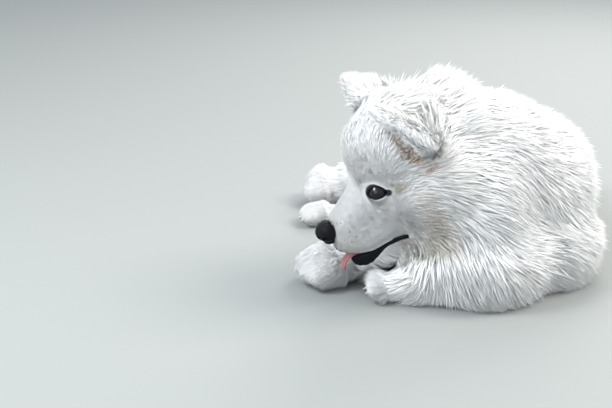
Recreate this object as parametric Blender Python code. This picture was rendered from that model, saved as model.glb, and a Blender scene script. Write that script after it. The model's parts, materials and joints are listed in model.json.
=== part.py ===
"""Life-size still model of a Samoyed puppy, lying down with its head turned to its right.

Metres, +Z up. The origin is on the floor under the middle of the body. The trunk heads
towards -Y, the face towards -X, and both hind feet lie out on the -X side. Every solid
reaches out to the tips of the coat.
"""

import bpy
import bmesh
from math import radians
from mathutils import Euler, Matrix, Vector

# Where the body's own frame lies, so that the origin is under the middle of the whole.
BODY_PLACE = (-0.0200, 0.0025, 0.0)

# The head's place is the point halfway between the eyes. Its x is forward, y left, z up.
HEAD_PLACE = (-0.0820, -0.1650, 0.1165)
HEAD_HEADING = radians(190)
HEAD_NOD = radians(28)
HEAD_TILT = radians(-3)

# Sizes of the head, with its coat.
JAW = [
    ((-0.040, 0, -0.052), 0.0300),
    ((0.006, 0, -0.062), 0.0200),
    ((0.043, 0, -0.0675), 0.0120),
]
EYE_RADIUS = 0.0105
EYE_PLACE = (-0.0012, 0.0248, -0.0019)

# Masses of the nose leather: centre and half sizes, where a y of the centre makes a pair.
NOSE_MASSES = [
    ((0.0615, 0, -0.0215), (0.0105, 0.0110, 0.0095)),
    ((0.0605, 0.0058, -0.0220), (0.0095, 0.0080, 0.0090)),
    ((0.0600, 0, -0.0305), (0.0084, 0.0062, 0.0062)),
]

# The tongue's middle line from the jaw's bed to its tip, which curls down over the chin.
TONGUE_LINE = [(0.034, 0, -0.0585), (0.045, 0, -0.0575), (0.0545, 0, -0.0580), (0.0605, 0, -0.0615)]
TONGUE_HALF = (0.0070, 0.0075, 0.0026)
TONGUE_NARROWING = 0.16
TONGUE_SLOPE, TONGUE_CURL = radians(8), radians(14)

# Sizes of an ear: a stack of slices that narrow to a round tip, with a hollow in its front.
EAR_HEIGHT = 0.0620
EAR_HALF_WIDTH = 0.0370
EAR_TIP_HALF_WIDTH = 0.0105
EAR_HALF_THICKNESS = 0.0145
EAR_TIP_THINNING = 0.45
EAR_TAPER_POWER = 1.5
EAR_SLICES = 9
EAR_SLICE_HALF_HEIGHT = 0.0110
EAR_HOLLOW = ((0.0185, 0, 0.034), (0.0105, 0.0155, 0.0250))
EAR_SPLAY = radians(4)

# Each ear is turned on its own: the left one forward, the right one more to its side.
LEFT_EAR_BASE = (-0.0640, 0.0470, 0.0270)
LEFT_EAR_LEAN, LEFT_EAR_TURN = radians(28), radians(5)
RIGHT_EAR_BASE = (-0.0575, -0.0470, 0.0265)
RIGHT_EAR_LEAN, RIGHT_EAR_TURN = radians(23), radians(52)

# The mouth from its corner forwards: x, and how high the upper and the lower lip lie there.
GAPE = [
    (-0.008, -0.0548, -0.0558),
    (0.012, -0.0570, -0.0592),
    (0.030, -0.0583, -0.0605),
    (0.044, -0.0550, -0.0590),
    (0.054, -0.0505, -0.0580),
    (0.092, -0.0320, -0.0560),
]
GAPE_HALF_WIDTH = 0.10
JAW_SETBACK = 0.0010

# Where the body is parted, in the frame of the head, of the neck and of the body.
HEAD_BACK_X = -0.0900
HEAD_UNDER_Z = -0.0620
JAW_UNDER_Z = -0.0930
JAW_HALF_WIDTH = 0.0260
NECK_PLACE = (0.0000, -0.1200, 0.1350)
NECK_AXIS = (0.110, 0.090, -0.056)
NECK_REAR_X = 0.0300
NECK_UNDER_Z = -0.0700
CHEST_REAR_Y = 0.0200

# Masses of the head in its own frame: centre and half sizes. Those in pairs have a left side.
HEAD_MASSES = {
    "cranium": ((-0.049, 0, 0.021), (0.058, 0.058, 0.058)),
    "forehead": ((-0.021, 0, 0.030), (0.036, 0.041, 0.037)),
}
HEAD_PAIRS = {
    "brow": ((-0.009, 0.011, 0.015), (0.0255, 0.021, 0.024)),
    "temple": ((-0.025, 0.020, 0.008), (0.031, 0.024, 0.035)),
    "orbit": ((-0.012, 0.020, -0.004), (0.019, 0.0175, 0.0195)),
    "cheekbone": ((-0.051, 0.033, 0.006), (0.037, 0.027, 0.036)),
    "cheek": ((-0.054, 0.032, -0.026), (0.052, 0.037, 0.046)),
    "cheek_front": ((-0.020, 0.018, -0.030), (0.036, 0.021, 0.028)),
    "jowl": ((-0.050, 0.024, -0.060), (0.040, 0.034, 0.036)),
}

# The muzzle from between the eyes to the nose: x and z of its middle, half width, half height.
MUZZLE_SLICES = [
    (-0.014, -0.008, 0.036, 0.035),
    (0.018, -0.0200, 0.0255, 0.0295),
    (0.034, -0.0250, 0.0225, 0.0245),
    (0.050, -0.0285, 0.0185, 0.0190),
]
MUZZLE_SLICE_DEPTH = 0.016
MUZZLE_STEPS = 4

# The upper lip that hangs along the left side of the muzzle, as a chain of (point, radius).
LIP = [
    ((0.002, 0.0135, -0.0400), 0.0165),
    ((0.030, 0.0090, -0.0455), 0.0145),
    ((0.049, 0.0065, -0.0385), 0.0140),
]

# Masses of the trunk in the body's frame: centre and half sizes, with their coat.
TRUNK_MASSES = {
    "nape": ((-0.012, -0.120, 0.143), (0.066, 0.073, 0.082)),
    "shoulders": ((0.032, -0.098, 0.123), (0.088, 0.088, 0.080)),
    "ruff": ((0.012, -0.138, 0.085), (0.080, 0.082, 0.086)),
    "breast": ((0.028, -0.152, 0.040), (0.082, 0.082, 0.064)),
    "ribs": ((0.060, -0.070, 0.091), (0.104, 0.106, 0.092)),
    "left_side": ((0.088, -0.090, 0.040), (0.081, 0.098, 0.066)),
    "loin": ((0.066, 0.025, 0.080), (0.086, 0.100, 0.073)),
    "haunches": ((0.072, 0.110, 0.063), (0.088, 0.088, 0.069)),
}

# Legs and tail as chains of (point, radius), from the trunk outwards, with their coat.
LEGS = {
    "foreleg_left": [
        ((0.045, -0.130, 0.050), 0.040),
        ((0.012, -0.184, 0.032), 0.035),
        ((-0.036, -0.184, 0.021), 0.026),
    ],
    "foreleg_right": [
        ((0.000, -0.070, 0.060), 0.038),
        ((-0.040, -0.100, 0.036), 0.033),
        ((-0.092, -0.124, 0.027), 0.027),
    ],
    "hindleg_left": [
        ((0.050, 0.060, 0.055), 0.045),
        ((-0.030, 0.048, 0.038), 0.034),
        ((-0.094, 0.066, 0.019), 0.021),
    ],
    "hindleg_right": [
        ((0.050, 0.125, 0.062), 0.052),
        ((-0.030, 0.110, 0.050), 0.042),
        ((-0.088, 0.148, 0.030), 0.031),
    ],
    "tail": [
        ((0.085, 0.172, 0.062), 0.027),
        ((0.112, 0.200, 0.045), 0.034),
        ((0.143, 0.199, 0.034), 0.036),
        ((0.166, 0.172, 0.031), 0.034),
        ((0.175, 0.138, 0.026), 0.027),
        ((0.173, 0.108, 0.018), 0.017),
    ],
}

# Paws: centre, heading, half sizes of the pad, and radius of a toe.
PAWS = {
    "forepaw_left": ((-0.056, -0.176, 0.015), radians(170), (0.031, 0.024, 0.018), 0.0105),
    "forepaw_right": ((-0.120, -0.131, 0.021), radians(202), (0.038, 0.033, 0.026), 0.0140),
    "hindpaw_left": ((-0.122, 0.068, 0.013), radians(180), (0.034, 0.020, 0.016), 0.0098),
    "hindpaw_right": ((-0.114, 0.152, 0.023), radians(178), (0.036, 0.029, 0.028), 0.0135),
}

# Toes: how many on a foot, and where their row lies on the pad.
TOE_COUNT = 4
TOE_REACH = 0.62
TOE_SPACING = 1.15
TOE_SETBACK = 0.35
TOE_STRETCH = 1.3
TOE_SINK = 0.12

# Fineness of the surfaces, and the gap that parts the pieces.
VOXEL = 0.0035
FINE_VOXEL = 0.0012
TRUNK_SMOOTHING = 40
HEAD_SMOOTHING = 9
LEG_SMOOTHING = 8
EAR_SMOOTHING = 5
PAW_SMOOTHING = 3
GAP = 0.0003
FAR = 1.0
SHARP_ANGLE = radians(50)

# About how many triangles each body has before its neighbours cut it.
TORSO_FACES = 3200
LEG_FACES = 260
PAW_FACES = 260
EAR_FACES = 280
NOSE_FACES = 220
TONGUE_FACES = 140
EYE_SEGMENTS = 14
EYE_RINGS = 9

# Colours of the coat and of the bare parts.
COAT_WHITE = (0.86, 0.84, 0.80)
COAT_CREAM = (0.80, 0.75, 0.67)
NOSE_BLACK = (0.015, 0.014, 0.016)
EYE_BROWN = (0.020, 0.010, 0.006)
TONGUE_PINK = (0.55, 0.22, 0.21)

BODY = Matrix.Translation(BODY_PLACE)


def clear_scene():
    for obj in list(bpy.data.objects):
        bpy.data.objects.remove(obj, do_unlink=True)


def head_frame():
    heading = Matrix.Rotation(HEAD_HEADING, 4, "Z")
    nod = Matrix.Rotation(HEAD_NOD, 4, "Y")
    tilt = Matrix.Rotation(HEAD_TILT, 4, "X")
    return BODY @ Matrix.Translation(HEAD_PLACE) @ heading @ nod @ tilt


def neck_frame():
    """The neck's x runs from the head to the chest."""
    turn = Vector(NECK_AXIS).to_track_quat("X", "Z").to_matrix().to_4x4()
    return BODY @ Matrix.Translation(NECK_PLACE) @ turn


HEAD = head_frame()
NECK = neck_frame()


def principled(name, colour, roughness):
    material = bpy.data.materials.new(name)
    material.use_nodes = True
    shader = material.node_tree.nodes["Principled BSDF"]
    shader.inputs["Base Color"].default_value = (*colour, 1.0)
    shader.inputs["Roughness"].default_value = roughness
    shader.inputs["Metallic"].default_value = 0.0
    return material


def object_from(bm, name):
    mesh = bpy.data.meshes.new(name)
    bm.to_mesh(mesh)
    bm.free()
    obj = bpy.data.objects.new(name, mesh)
    bpy.context.collection.objects.link(obj)
    return obj


def remove(obj):
    bpy.data.objects.remove(obj, do_unlink=True)


def ball(bm, centre, radii, frame=BODY, turn=(0, 0, 0), fineness=3):
    """Adds an ellipsoid, turned about its own centre, in the given frame."""
    place = frame @ Matrix.Translation(centre) @ Euler(turn).to_matrix().to_4x4()
    stretch = Matrix.Diagonal((*radii, 1.0))
    bmesh.ops.create_icosphere(
        bm, subdivisions=fineness, radius=1.0, matrix=place @ stretch
    )


def pair_of_balls(bm, centre, radii, frame):
    """Adds an ellipsoid on the left, and its mirror image on the right."""
    x, y, z = centre
    for side in (1, -1):
        ball(bm, (x, y * side, z), radii, frame)


def limb(bm, joints, frame=BODY):
    """Adds balls along a chain of (point, radius) joints, close enough to merge."""
    for (start, r_start), (end, r_end) in zip(joints, joints[1:]):
        start, end = Vector(start), Vector(end)
        steps = max(2, int((end - start).length / (0.3 * min(r_start, r_end))))
        for i in range(steps + 1):
            t = i / steps
            radius = r_start + (r_end - r_start) * t
            ball(bm, start.lerp(end, t), (radius,) * 3, frame)


def applied(obj):
    """Replaces an object's mesh by what its modifiers make of it."""
    graph = bpy.context.evaluated_depsgraph_get()
    mesh = bpy.data.meshes.new_from_object(obj.evaluated_get(graph))
    obj.modifiers.clear()
    obj.data = mesh
    return obj


def merged(obj, smoothing, voxel=VOXEL):
    """Melts overlapping closed shapes into one body and softens its valleys."""
    remesh = obj.modifiers.new("merge", "REMESH")
    remesh.mode = "VOXEL"
    remesh.voxel_size = voxel
    soften = obj.modifiers.new("soften", "SMOOTH")
    soften.factor = 0.5
    soften.iterations = smoothing
    return applied(obj)


def thinned(obj, faces):
    """Brings a body down to about so many triangles."""
    triangles = obj.modifiers.new("triangles", "TRIANGULATE")
    triangles.quad_method = "BEAUTY"
    applied(obj)
    thin = obj.modifiers.new("thin", "DECIMATE")
    thin.ratio = min(1.0, faces / len(obj.data.polygons))
    return applied(obj)


def inflated(obj, gap=GAP):
    """A copy of a body whose surface is moved out by the gap."""
    bm = bmesh.new()
    bm.from_mesh(obj.data)
    bm.normal_update()
    normals = [v.normal.copy() for v in bm.verts]
    for vertex, normal in zip(bm.verts, normals):
        vertex.co += normal * gap
    return object_from(bm, obj.name + "_room")


def box_cutter(name, low, high, frame=BODY):
    middle = (Vector(low) + Vector(high)) / 2
    size = Vector(high) - Vector(low)
    place = frame @ Matrix.Translation(middle) @ Matrix.Diagonal((*size, 1.0))
    bm = bmesh.new()
    bmesh.ops.create_cube(bm, size=1.0, matrix=place)
    return object_from(bm, name)


def boolean(obj, tool, operation):
    cut = obj.modifiers.new("cut", "BOOLEAN")
    cut.operation = operation
    cut.solver = "EXACT"
    cut.object = tool
    applied(obj)
    remove(tool)


def cut_away(obj, *others):
    """Takes other bodies, with the gap round them, out of this one."""
    for other in others:
        boolean(obj, inflated(other), "DIFFERENCE")


def prism(name, outline, half_width, frame=HEAD):
    """A closed shape between the frame's left and right, from an outline of (x, z) points."""
    bm = bmesh.new()
    sides = []
    for y in (-half_width, half_width):
        sides.append([bm.verts.new(frame @ Vector((x, y, z))) for x, z in outline])
    right, left = sides
    bm.faces.new(right)
    bm.faces.new(reversed(left))
    for i in range(len(outline)):
        j = (i + 1) % len(outline)
        bm.faces.new((right[j], right[i], left[i], left[j]))
    bmesh.ops.recalc_face_normals(bm, faces=bm.faces)
    return object_from(bm, name)


def part_off(obj, name, inner, outer):
    """Parts a body in two: what lies in the inner tool becomes a new body."""
    piece = obj.copy()
    piece.data = obj.data.copy()
    piece.name = name
    bpy.context.collection.objects.link(piece)
    boolean(piece, inner, "INTERSECT")
    boolean(obj, outer, "DIFFERENCE")
    return piece


def carve(obj, name, low, high, frame=BODY):
    """Parts off what lies in a box."""
    room = Vector((GAP, GAP, GAP))
    inner = box_cutter("inner", low, high, frame)
    outer = box_cutter("outer", Vector(low) - room, Vector(high) + room, frame)
    return part_off(obj, name, inner, outer)


def under_gape(name, room):
    """The space under the middle of the mouth, wider by the given room."""
    outline = [(x, (upper + lower) / 2) for x, upper, lower in GAPE]
    back = outline[0][0] + JAW_SETBACK - room
    front = outline[-1][0]
    under = JAW_UNDER_Z - room
    outline[0] = (back, outline[0][1])
    outline += [(front, under), (back, under)]
    return prism(name, outline, JAW_HALF_WIDTH + room)


def stand_on_floor(obj):
    """Takes off what lies below the floor, which leaves a small flat there."""
    boolean(obj, box_cutter("below", (-FAR, -FAR, -FAR), (FAR, FAR, 0.0)), "DIFFERENCE")


def keep_largest(obj):
    """Leaves only the largest of a body's loose islands."""
    bm = bmesh.new()
    bm.from_mesh(obj.data)
    islands = []
    waiting = set(bm.verts)
    while waiting:
        island = {waiting.pop()}
        edge_of_island = set(island)
        while edge_of_island:
            near = {e.other_vert(v) for v in edge_of_island for e in v.link_edges}
            edge_of_island = near & waiting
            waiting -= edge_of_island
            island |= edge_of_island
        islands.append(island)
    islands.sort(key=len)
    for island in islands[:-1]:
        bmesh.ops.delete(bm, geom=list(island), context="VERTS")
    bm.to_mesh(obj.data)
    bm.free()


def skull(bm):
    for centre, radii in HEAD_MASSES.values():
        ball(bm, centre, radii, HEAD)
    for centre, radii in HEAD_PAIRS.values():
        pair_of_balls(bm, centre, radii, HEAD)


def muzzle(bm):
    """A wedge that is deeper than wide, with the upper lips hanging along both sides."""
    for start, end in zip(MUZZLE_SLICES, MUZZLE_SLICES[1:]):
        for i in range(MUZZLE_STEPS + 1):
            t = i / MUZZLE_STEPS
            x, z, wide, high = (a + (b - a) * t for a, b in zip(start, end))
            ball(bm, (x, 0, z), (MUZZLE_SLICE_DEPTH, wide, high), HEAD)
    for side in (1, -1):
        lip = [((x, y * side, z), radius) for (x, y, z), radius in LIP]
        limb(bm, lip, HEAD)


def jaw_and_throat(bm):
    limb(bm, JAW, HEAD)


def trunk_masses():
    """Nape, ruff, chest, loin and rump, melted well together."""
    bm = bmesh.new()
    for centre, radii in TRUNK_MASSES.values():
        ball(bm, centre, radii)
    return merged(object_from(bm, "trunk_masses"), TRUNK_SMOOTHING)


def whole_torso():
    """Head, neck and trunk as one smooth body."""
    masses = trunk_masses()
    bm = bmesh.new()
    bm.from_mesh(masses.data)
    remove(masses)
    skull(bm)
    muzzle(bm)
    jaw_and_throat(bm)
    torso = merged(object_from(bm, "chest"), HEAD_SMOOTHING)
    return thinned(torso, TORSO_FACES)


def ear(name, side, base, lean, turn):
    """A thick rounded triangle, leaning forward, with a hollow in its front."""
    frame = HEAD @ Matrix.Translation(base)
    frame = frame @ Matrix.Rotation(-EAR_SPLAY * side, 4, "X")
    frame = frame @ Matrix.Rotation(lean, 4, "Y")
    frame = frame @ Matrix.Rotation(turn * side, 4, "Z")
    bm = bmesh.new()
    for i in range(EAR_SLICES):
        t = i / (EAR_SLICES - 1)
        taper = 1.0 - t**EAR_TAPER_POWER
        half_width = EAR_TIP_HALF_WIDTH + (EAR_HALF_WIDTH - EAR_TIP_HALF_WIDTH) * taper
        half_thick = EAR_HALF_THICKNESS * (1.0 - EAR_TIP_THINNING * t)
        radii = (half_thick, half_width, EAR_SLICE_HALF_HEIGHT)
        ball(bm, (0, 0, EAR_HEIGHT * t), radii, frame)
    shell = merged(object_from(bm, name), EAR_SMOOTHING)
    bm = bmesh.new()
    ball(bm, *EAR_HOLLOW, frame)
    boolean(shell, object_from(bm, "hollow"), "DIFFERENCE")
    return thinned(shell, EAR_FACES)


def paw(name, centre, heading, radii, toe_radius):
    """An oval pad of hair with a row of round toes along its front."""
    frame = BODY @ Matrix.Translation(centre) @ Matrix.Rotation(heading, 4, "Z")
    bm = bmesh.new()
    ball(bm, (0, 0, 0), radii, frame)
    for i in range(TOE_COUNT):
        place = i - (TOE_COUNT - 1) / 2
        across = place * toe_radius * TOE_SPACING
        ahead = radii[0] * TOE_REACH - abs(place) * toe_radius * TOE_SETBACK
        toe = (toe_radius * TOE_STRETCH, toe_radius, toe_radius)
        ball(bm, (ahead, across, -radii[2] * TOE_SINK), toe, frame)
    return thinned(merged(object_from(bm, name), PAW_SMOOTHING), PAW_FACES)


def leg(name, joints):
    """A leg or the tail, full of hair and round along its length."""
    bm = bmesh.new()
    limb(bm, joints)
    return thinned(merged(object_from(bm, name), LEG_SMOOTHING), LEG_FACES)


def eyeball(name, side):
    x, y, z = EYE_PLACE
    bm = bmesh.new()
    place = HEAD @ Matrix.Translation((x, y * side, z))
    bmesh.ops.create_uvsphere(
        bm, u_segments=EYE_SEGMENTS, v_segments=EYE_RINGS, radius=EYE_RADIUS, matrix=place
    )
    return object_from(bm, name)


def nose():
    """The leather: a rounded block, wider at the top than at the lip."""
    bm = bmesh.new()
    for centre, radii in NOSE_MASSES:
        if centre[1]:
            pair_of_balls(bm, centre, radii, HEAD)
        else:
            ball(bm, centre, radii, HEAD)
    return thinned(merged(object_from(bm, "nose"), 1, FINE_VOXEL), NOSE_FACES)


def tongue():
    """A small tip of tongue that hangs out over the front of the jaw."""
    bm = bmesh.new()
    long, wide, thick = TONGUE_HALF
    for i, point in enumerate(TONGUE_LINE):
        radii = (long, wide * (1.0 - TONGUE_NARROWING * i), thick)
        ball(bm, point, radii, HEAD, turn=(0, TONGUE_SLOPE + TONGUE_CURL * i, 0))
    return thinned(merged(object_from(bm, "tongue"), 1, FINE_VOXEL), TONGUE_FACES)


def open_mouth(torso):
    """Cuts the gape, which starts as a slit at the corner and follows the hanging upper lip."""
    outline = [(x, upper) for x, upper, _ in GAPE] + [(x, lower) for x, _, lower in reversed(GAPE)]
    boolean(torso, prism("gape", outline, GAPE_HALF_WIDTH), "DIFFERENCE")


def part_torso(torso):
    """Divides the smooth torso into head, jaw, neck, chest and rump."""
    pieces = {}
    inner, outer = under_gape("inner", 0.0), under_gape("outer", GAP)
    pieces["jaw"] = part_off(torso, "jaw", inner, outer)
    low, high = (HEAD_BACK_X, -FAR, HEAD_UNDER_Z), (FAR, FAR, FAR)
    pieces["head"] = carve(torso, "head", low, high, HEAD)
    low, high = (-FAR, -FAR, NECK_UNDER_Z), (NECK_REAR_X, FAR, FAR)
    pieces["neck"] = carve(torso, "neck", low, high, NECK)
    low, high = (-FAR, CHEST_REAR_Y, -FAR), (FAR, FAR, FAR)
    pieces["rump"] = carve(torso, "rump", low, high)
    torso.name = "chest"
    pieces["chest"] = torso
    return pieces


def finish(obj, material):
    obj.data.materials.clear()
    obj.data.materials.append(material)
    obj.data.shade_smooth()
    obj.data.set_sharp_from_angle(angle=SHARP_ANGLE)


def main():
    clear_scene()
    torso = whole_torso()
    open_mouth(torso)
    features = {
        "eye_left": eyeball("eye_left", 1),
        "eye_right": eyeball("eye_right", -1),
        "nose": nose(),
        "tongue": tongue(),
    }
    cut_away(torso, *features.values())
    outer = {name: leg(name, joints) for name, joints in LEGS.items()}
    for name, sizes in PAWS.items():
        outer[name] = paw(name, *sizes)
    outer["ear_left"] = ear("ear_left", 1, LEFT_EAR_BASE, LEFT_EAR_LEAN, LEFT_EAR_TURN)
    outer["ear_right"] = ear("ear_right", -1, RIGHT_EAR_BASE, RIGHT_EAR_LEAN, RIGHT_EAR_TURN)
    done = [torso, features["tongue"], features["nose"]]
    for obj in outer.values():
        cut_away(obj, *done)
        done.append(obj)
    pieces = {**part_torso(torso), **outer}
    white = principled("coat_white", COAT_WHITE, 0.85)
    cream = principled("coat_cream", COAT_CREAM, 0.85)
    for name, obj in pieces.items():
        stand_on_floor(obj)
        keep_largest(obj)
        finish(obj, cream if "paw" in name else white)
    black = principled("nose_leather", NOSE_BLACK, 0.45)
    brown = principled("eye_brown", EYE_BROWN, 0.08)
    pink = principled("tongue_pink", TONGUE_PINK, 0.35)
    finish(features["nose"], black)
    finish(features["tongue"], pink)
    finish(features["eye_left"], brown)
    finish(features["eye_right"], brown)


main()
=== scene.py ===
import json
from math import asin, cos, pi, radians, sin, sqrt

import bmesh
import bpy
import numpy as np
from mathutils import Euler, Matrix, Vector
from mathutils.bvhtree import BVHTree
from mathutils.kdtree import KDTree

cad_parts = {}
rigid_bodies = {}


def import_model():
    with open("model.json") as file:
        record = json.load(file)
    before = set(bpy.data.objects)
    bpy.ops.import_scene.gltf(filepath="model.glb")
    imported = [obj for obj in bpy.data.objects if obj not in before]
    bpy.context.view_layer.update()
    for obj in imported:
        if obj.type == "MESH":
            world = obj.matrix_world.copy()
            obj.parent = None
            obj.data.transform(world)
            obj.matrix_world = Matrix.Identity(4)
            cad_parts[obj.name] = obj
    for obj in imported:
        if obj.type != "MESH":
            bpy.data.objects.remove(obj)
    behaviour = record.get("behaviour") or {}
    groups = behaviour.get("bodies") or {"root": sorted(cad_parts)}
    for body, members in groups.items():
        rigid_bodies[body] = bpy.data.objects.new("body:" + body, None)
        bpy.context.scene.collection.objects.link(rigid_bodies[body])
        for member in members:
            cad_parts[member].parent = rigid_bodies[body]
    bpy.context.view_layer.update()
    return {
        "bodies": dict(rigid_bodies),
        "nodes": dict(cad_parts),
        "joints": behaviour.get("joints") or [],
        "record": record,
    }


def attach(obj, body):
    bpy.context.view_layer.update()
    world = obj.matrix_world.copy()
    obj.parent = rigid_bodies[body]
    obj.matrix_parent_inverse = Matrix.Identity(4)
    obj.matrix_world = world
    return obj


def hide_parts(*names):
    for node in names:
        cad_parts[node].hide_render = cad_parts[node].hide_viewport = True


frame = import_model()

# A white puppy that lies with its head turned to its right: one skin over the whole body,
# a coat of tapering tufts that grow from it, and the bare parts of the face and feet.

RNG_SEED = 11

# The head's own frame: its place is halfway between the eyes; x forward, y left, z up.
HEAD_PLACE = (-0.1020, -0.1625, 0.1165)
BODY_PLACE = (-0.0200, 0.0025, 0.0)
HEAD_HEADING = radians(190)
HEAD_NOD = radians(28)
HEAD_TILT = radians(-3)

# Fineness of the skin, and how its surface is melted from the solids.
SKIN_VOXEL = 0.0026
SOLID_OVERLAP = 0.0005
WELD = 0.00001
SHRINK_STEPS = 10
REST_LOW, REST_HIGH = 0.004, 0.030

# How deep the coat is, from the skin to the tips that the solids reach.
COAT_DEPTH = {
    "head": 0.0060,
    "jaw": 0.0030,
    "neck": 0.0190,
    "chest": 0.0200,
    "rump": 0.0200,
    "tail": 0.0120,
    "ear_left": 0.0040,
    "ear_right": 0.0040,
    "foreleg_left": 0.0100,
    "foreleg_right": 0.0110,
    "forepaw_left": 0.0040,
    "forepaw_right": 0.0055,
    "hindleg_left": 0.0100,
    "hindleg_right": 0.0130,
    "hindpaw_left": 0.0040,
    "hindpaw_right": 0.0055,
}
FLESH = list(COAT_DEPTH)

# The parts whose meeting lines are smoothed over, and how far.
CREASED = [
    name for name in FLESH if name not in ("head", "jaw", "neck", "ear_left", "ear_right")
]
CREASE_ROUNDS, CREASE_SPREAD = 50, 110

# The forelegs give way under the chin, so that the two don't melt together.
CHIN_RESTS_ON = ("foreleg_left", "foreleg_right", "forepaw_left", "forepaw_right")
CHIN_ROOM = 0.0030
CHIN_NEAR, CHIN_FAR = 0.003, 0.012

# The mouth from its corner forwards: x, and how high the upper and the lower lip lie there.
GAPE = [
    (-0.008, -0.0548, -0.0558),
    (0.012, -0.0570, -0.0592),
    (0.030, -0.0583, -0.0605),
    (0.044, -0.0550, -0.0590),
    (0.054, -0.0505, -0.0580),
    (0.067, -0.0440, -0.0572),
]
GAPE_HALF_WIDTH = [(-0.008, 0.034), (0.030, 0.024), (0.067, 0.014)]

# Where the solids leave room for the eyeballs, which the flesh fills before the lids are made.
EYE_ROOM = (-0.0012, 0.0248, -0.0019)

# Balls of flesh inside the lips and the jaw, as (point, radius) chains of the left side.
LIP_FILL = [((0.000, 0.0120, -0.0570), 0.0090), ((0.042, 0.0050, -0.0570), 0.0070)]
JAW_CORE = [
    ((-0.036, 0.0060, -0.0620), 0.0300),
    ((0.000, 0.0020, -0.0640), 0.0170),
    ((0.043, 0.0020, -0.0675), 0.0095),
]

# The eyes in the head's own frame: how the ball lies, and the almond of its lids.
EYE_RADIUS = 0.0105
EYE_PLACE = (-0.0012, 0.0248, -0.0019)
EYE_AZIMUTH, EYE_ELEVATION = radians(66), radians(14)
LID_TILT = radians(-15)
LID_INNER, LID_OUTER = radians(60), radians(72)
LID_UPPER, LID_LOWER = radians(47), radians(21)
LID_THICKNESS = 0.0012
LID_BLEND = 0.0060
LID_EDGE_LIFT = 0.0005
LID_EDGE_HALF = 0.0009
RIM_POINTS = 72
OPENING_EDGE = 1.03
SOCKET_DEPTH = 0.70
EYE_REACH = 0.0240
CORNEA_BULGE = 0.0008
CORNEA_REACH = radians(34)
PUPIL_REACH, IRIS_REACH = radians(17), radians(34)

# Masses of the nose leather and what is cut from it: centre, half sizes, and turn.
NOSE_VOXEL = 0.0006
NOSE_MASSES = [
    ((0.0615, 0, -0.0215), (0.0105, 0.0110, 0.0095)),
    ((0.0605, 0.0058, -0.0220), (0.0095, 0.0080, 0.0090)),
    ((0.0600, 0, -0.0305), (0.0084, 0.0062, 0.0062)),
]
NOSTRIL_CUTS = [
    ((0.0700, 0.0052, -0.0220), (0.0042, 0.0023, 0.0026), (0.0, 0.0, radians(18))),
    ((0.0670, 0.0100, -0.0240), (0.0050, 0.0040, 0.0010), (radians(22), 0.0, radians(52))),
    ((0.0712, 0, -0.0285), (0.0032, 0.0005, 0.0075), (0.0, radians(12), 0.0)),
]

# The lips: where the rays start that find the skin's edge, and half height and half
# thickness of the bare rolls at some x from the corner to the front.
LIP_SIDE_FAR, LIP_FRONT_FAR = 0.040, 0.027
LIP_CORNER_X = -0.0065
LIP_TURN_X = 0.040
LIP_TURN = radians(72)
LIP_SIDE_POINTS, LIP_FRONT_POINTS = 26, 19
UPPER_LIP = [
    (-0.007, 0.0019, 0.0017),
    (0.006, 0.0014, 0.0014),
    (0.018, 0.0010, 0.0011),
    (0.045, 0.0009, 0.0010),
    (0.053, 0.0018, 0.0012),
    (0.062, 0.0026, 0.0013),
]
LOWER_LIP = [
    (-0.007, 0.0019, 0.0017),
    (0.004, 0.0020, 0.0018),
    (0.014, 0.0015, 0.0015),
    (0.022, 0.0024, 0.0017),
    (0.032, 0.0052, 0.0021),
    (0.042, 0.0068, 0.0023),
    (0.053, 0.0056, 0.0021),
]
LIP_CRINKLE = 0.12
LIP_RISE = 0.0012

TONGUE_LINE = [
    (0.000, 0, -0.0580),
    (0.030, 0, -0.0592),
    (0.045, 0, -0.0572),
    (0.0545, 0, -0.0578),
    (0.0600, 0, -0.0612),
    (0.0640, 0, -0.0668),
]
TONGUE_HALF_WIDTH = 0.0072
TONGUE_HALF_THICKNESS = 0.0020
TONGUE_GROOVE = 0.0008


def head_matrix():
    heading = Matrix.Rotation(HEAD_HEADING, 4, "Z")
    nod = Matrix.Rotation(HEAD_NOD, 4, "Y")
    tilt = Matrix.Rotation(HEAD_TILT, 4, "X")
    return Matrix.Translation(HEAD_PLACE) @ heading @ nod @ tilt


HEAD = head_matrix()
HEAD_TURN = np.array(HEAD.to_3x3())
HEAD_ORIGIN = np.array(HEAD_PLACE)


def to_head(points):
    """Points of the row frame in the head's own frame."""
    return (points - HEAD_ORIGIN) @ HEAD_TURN


def from_head(points):
    return np.asarray(points, float) @ HEAD_TURN.T + HEAD_ORIGIN


def unit(vectors):
    length = np.linalg.norm(vectors, axis=-1, keepdims=True)
    return vectors / np.maximum(length, 1e-12)


def smooth_step(value, low, high):
    t = np.clip((value - low) / (high - low), 0.0, 1.0)
    return t * t * (3.0 - 2.0 * t)


# Colours of the coat and the bare parts.
# The root colour is the tip's white darkened by painted shade among the hairs, and a little creamier.
COAT_ROOT_SHADED = (0.86, 0.85, 0.83)
COAT_TIP = (0.93, 0.93, 0.925)
COAT_CREAM = (0.88, 0.85, 0.80)
COAT_SHADE = (0.58, 0.58, 0.60)
BLACK = (0.004, 0.004, 0.005)
BLACK_GREY = (0.013, 0.0135, 0.016)
TONGUE_PINK = (0.50, 0.20, 0.20)
TONGUE_DEEP = (0.36, 0.11, 0.12)
EYE_BLACK = (0.002, 0.002, 0.003)
IRIS_BROWN = (0.006, 0.0035, 0.003)
IRIS_LIGHT = (0.011, 0.0065, 0.005)
CLAW_HORN = (0.30, 0.25, 0.22)
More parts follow.
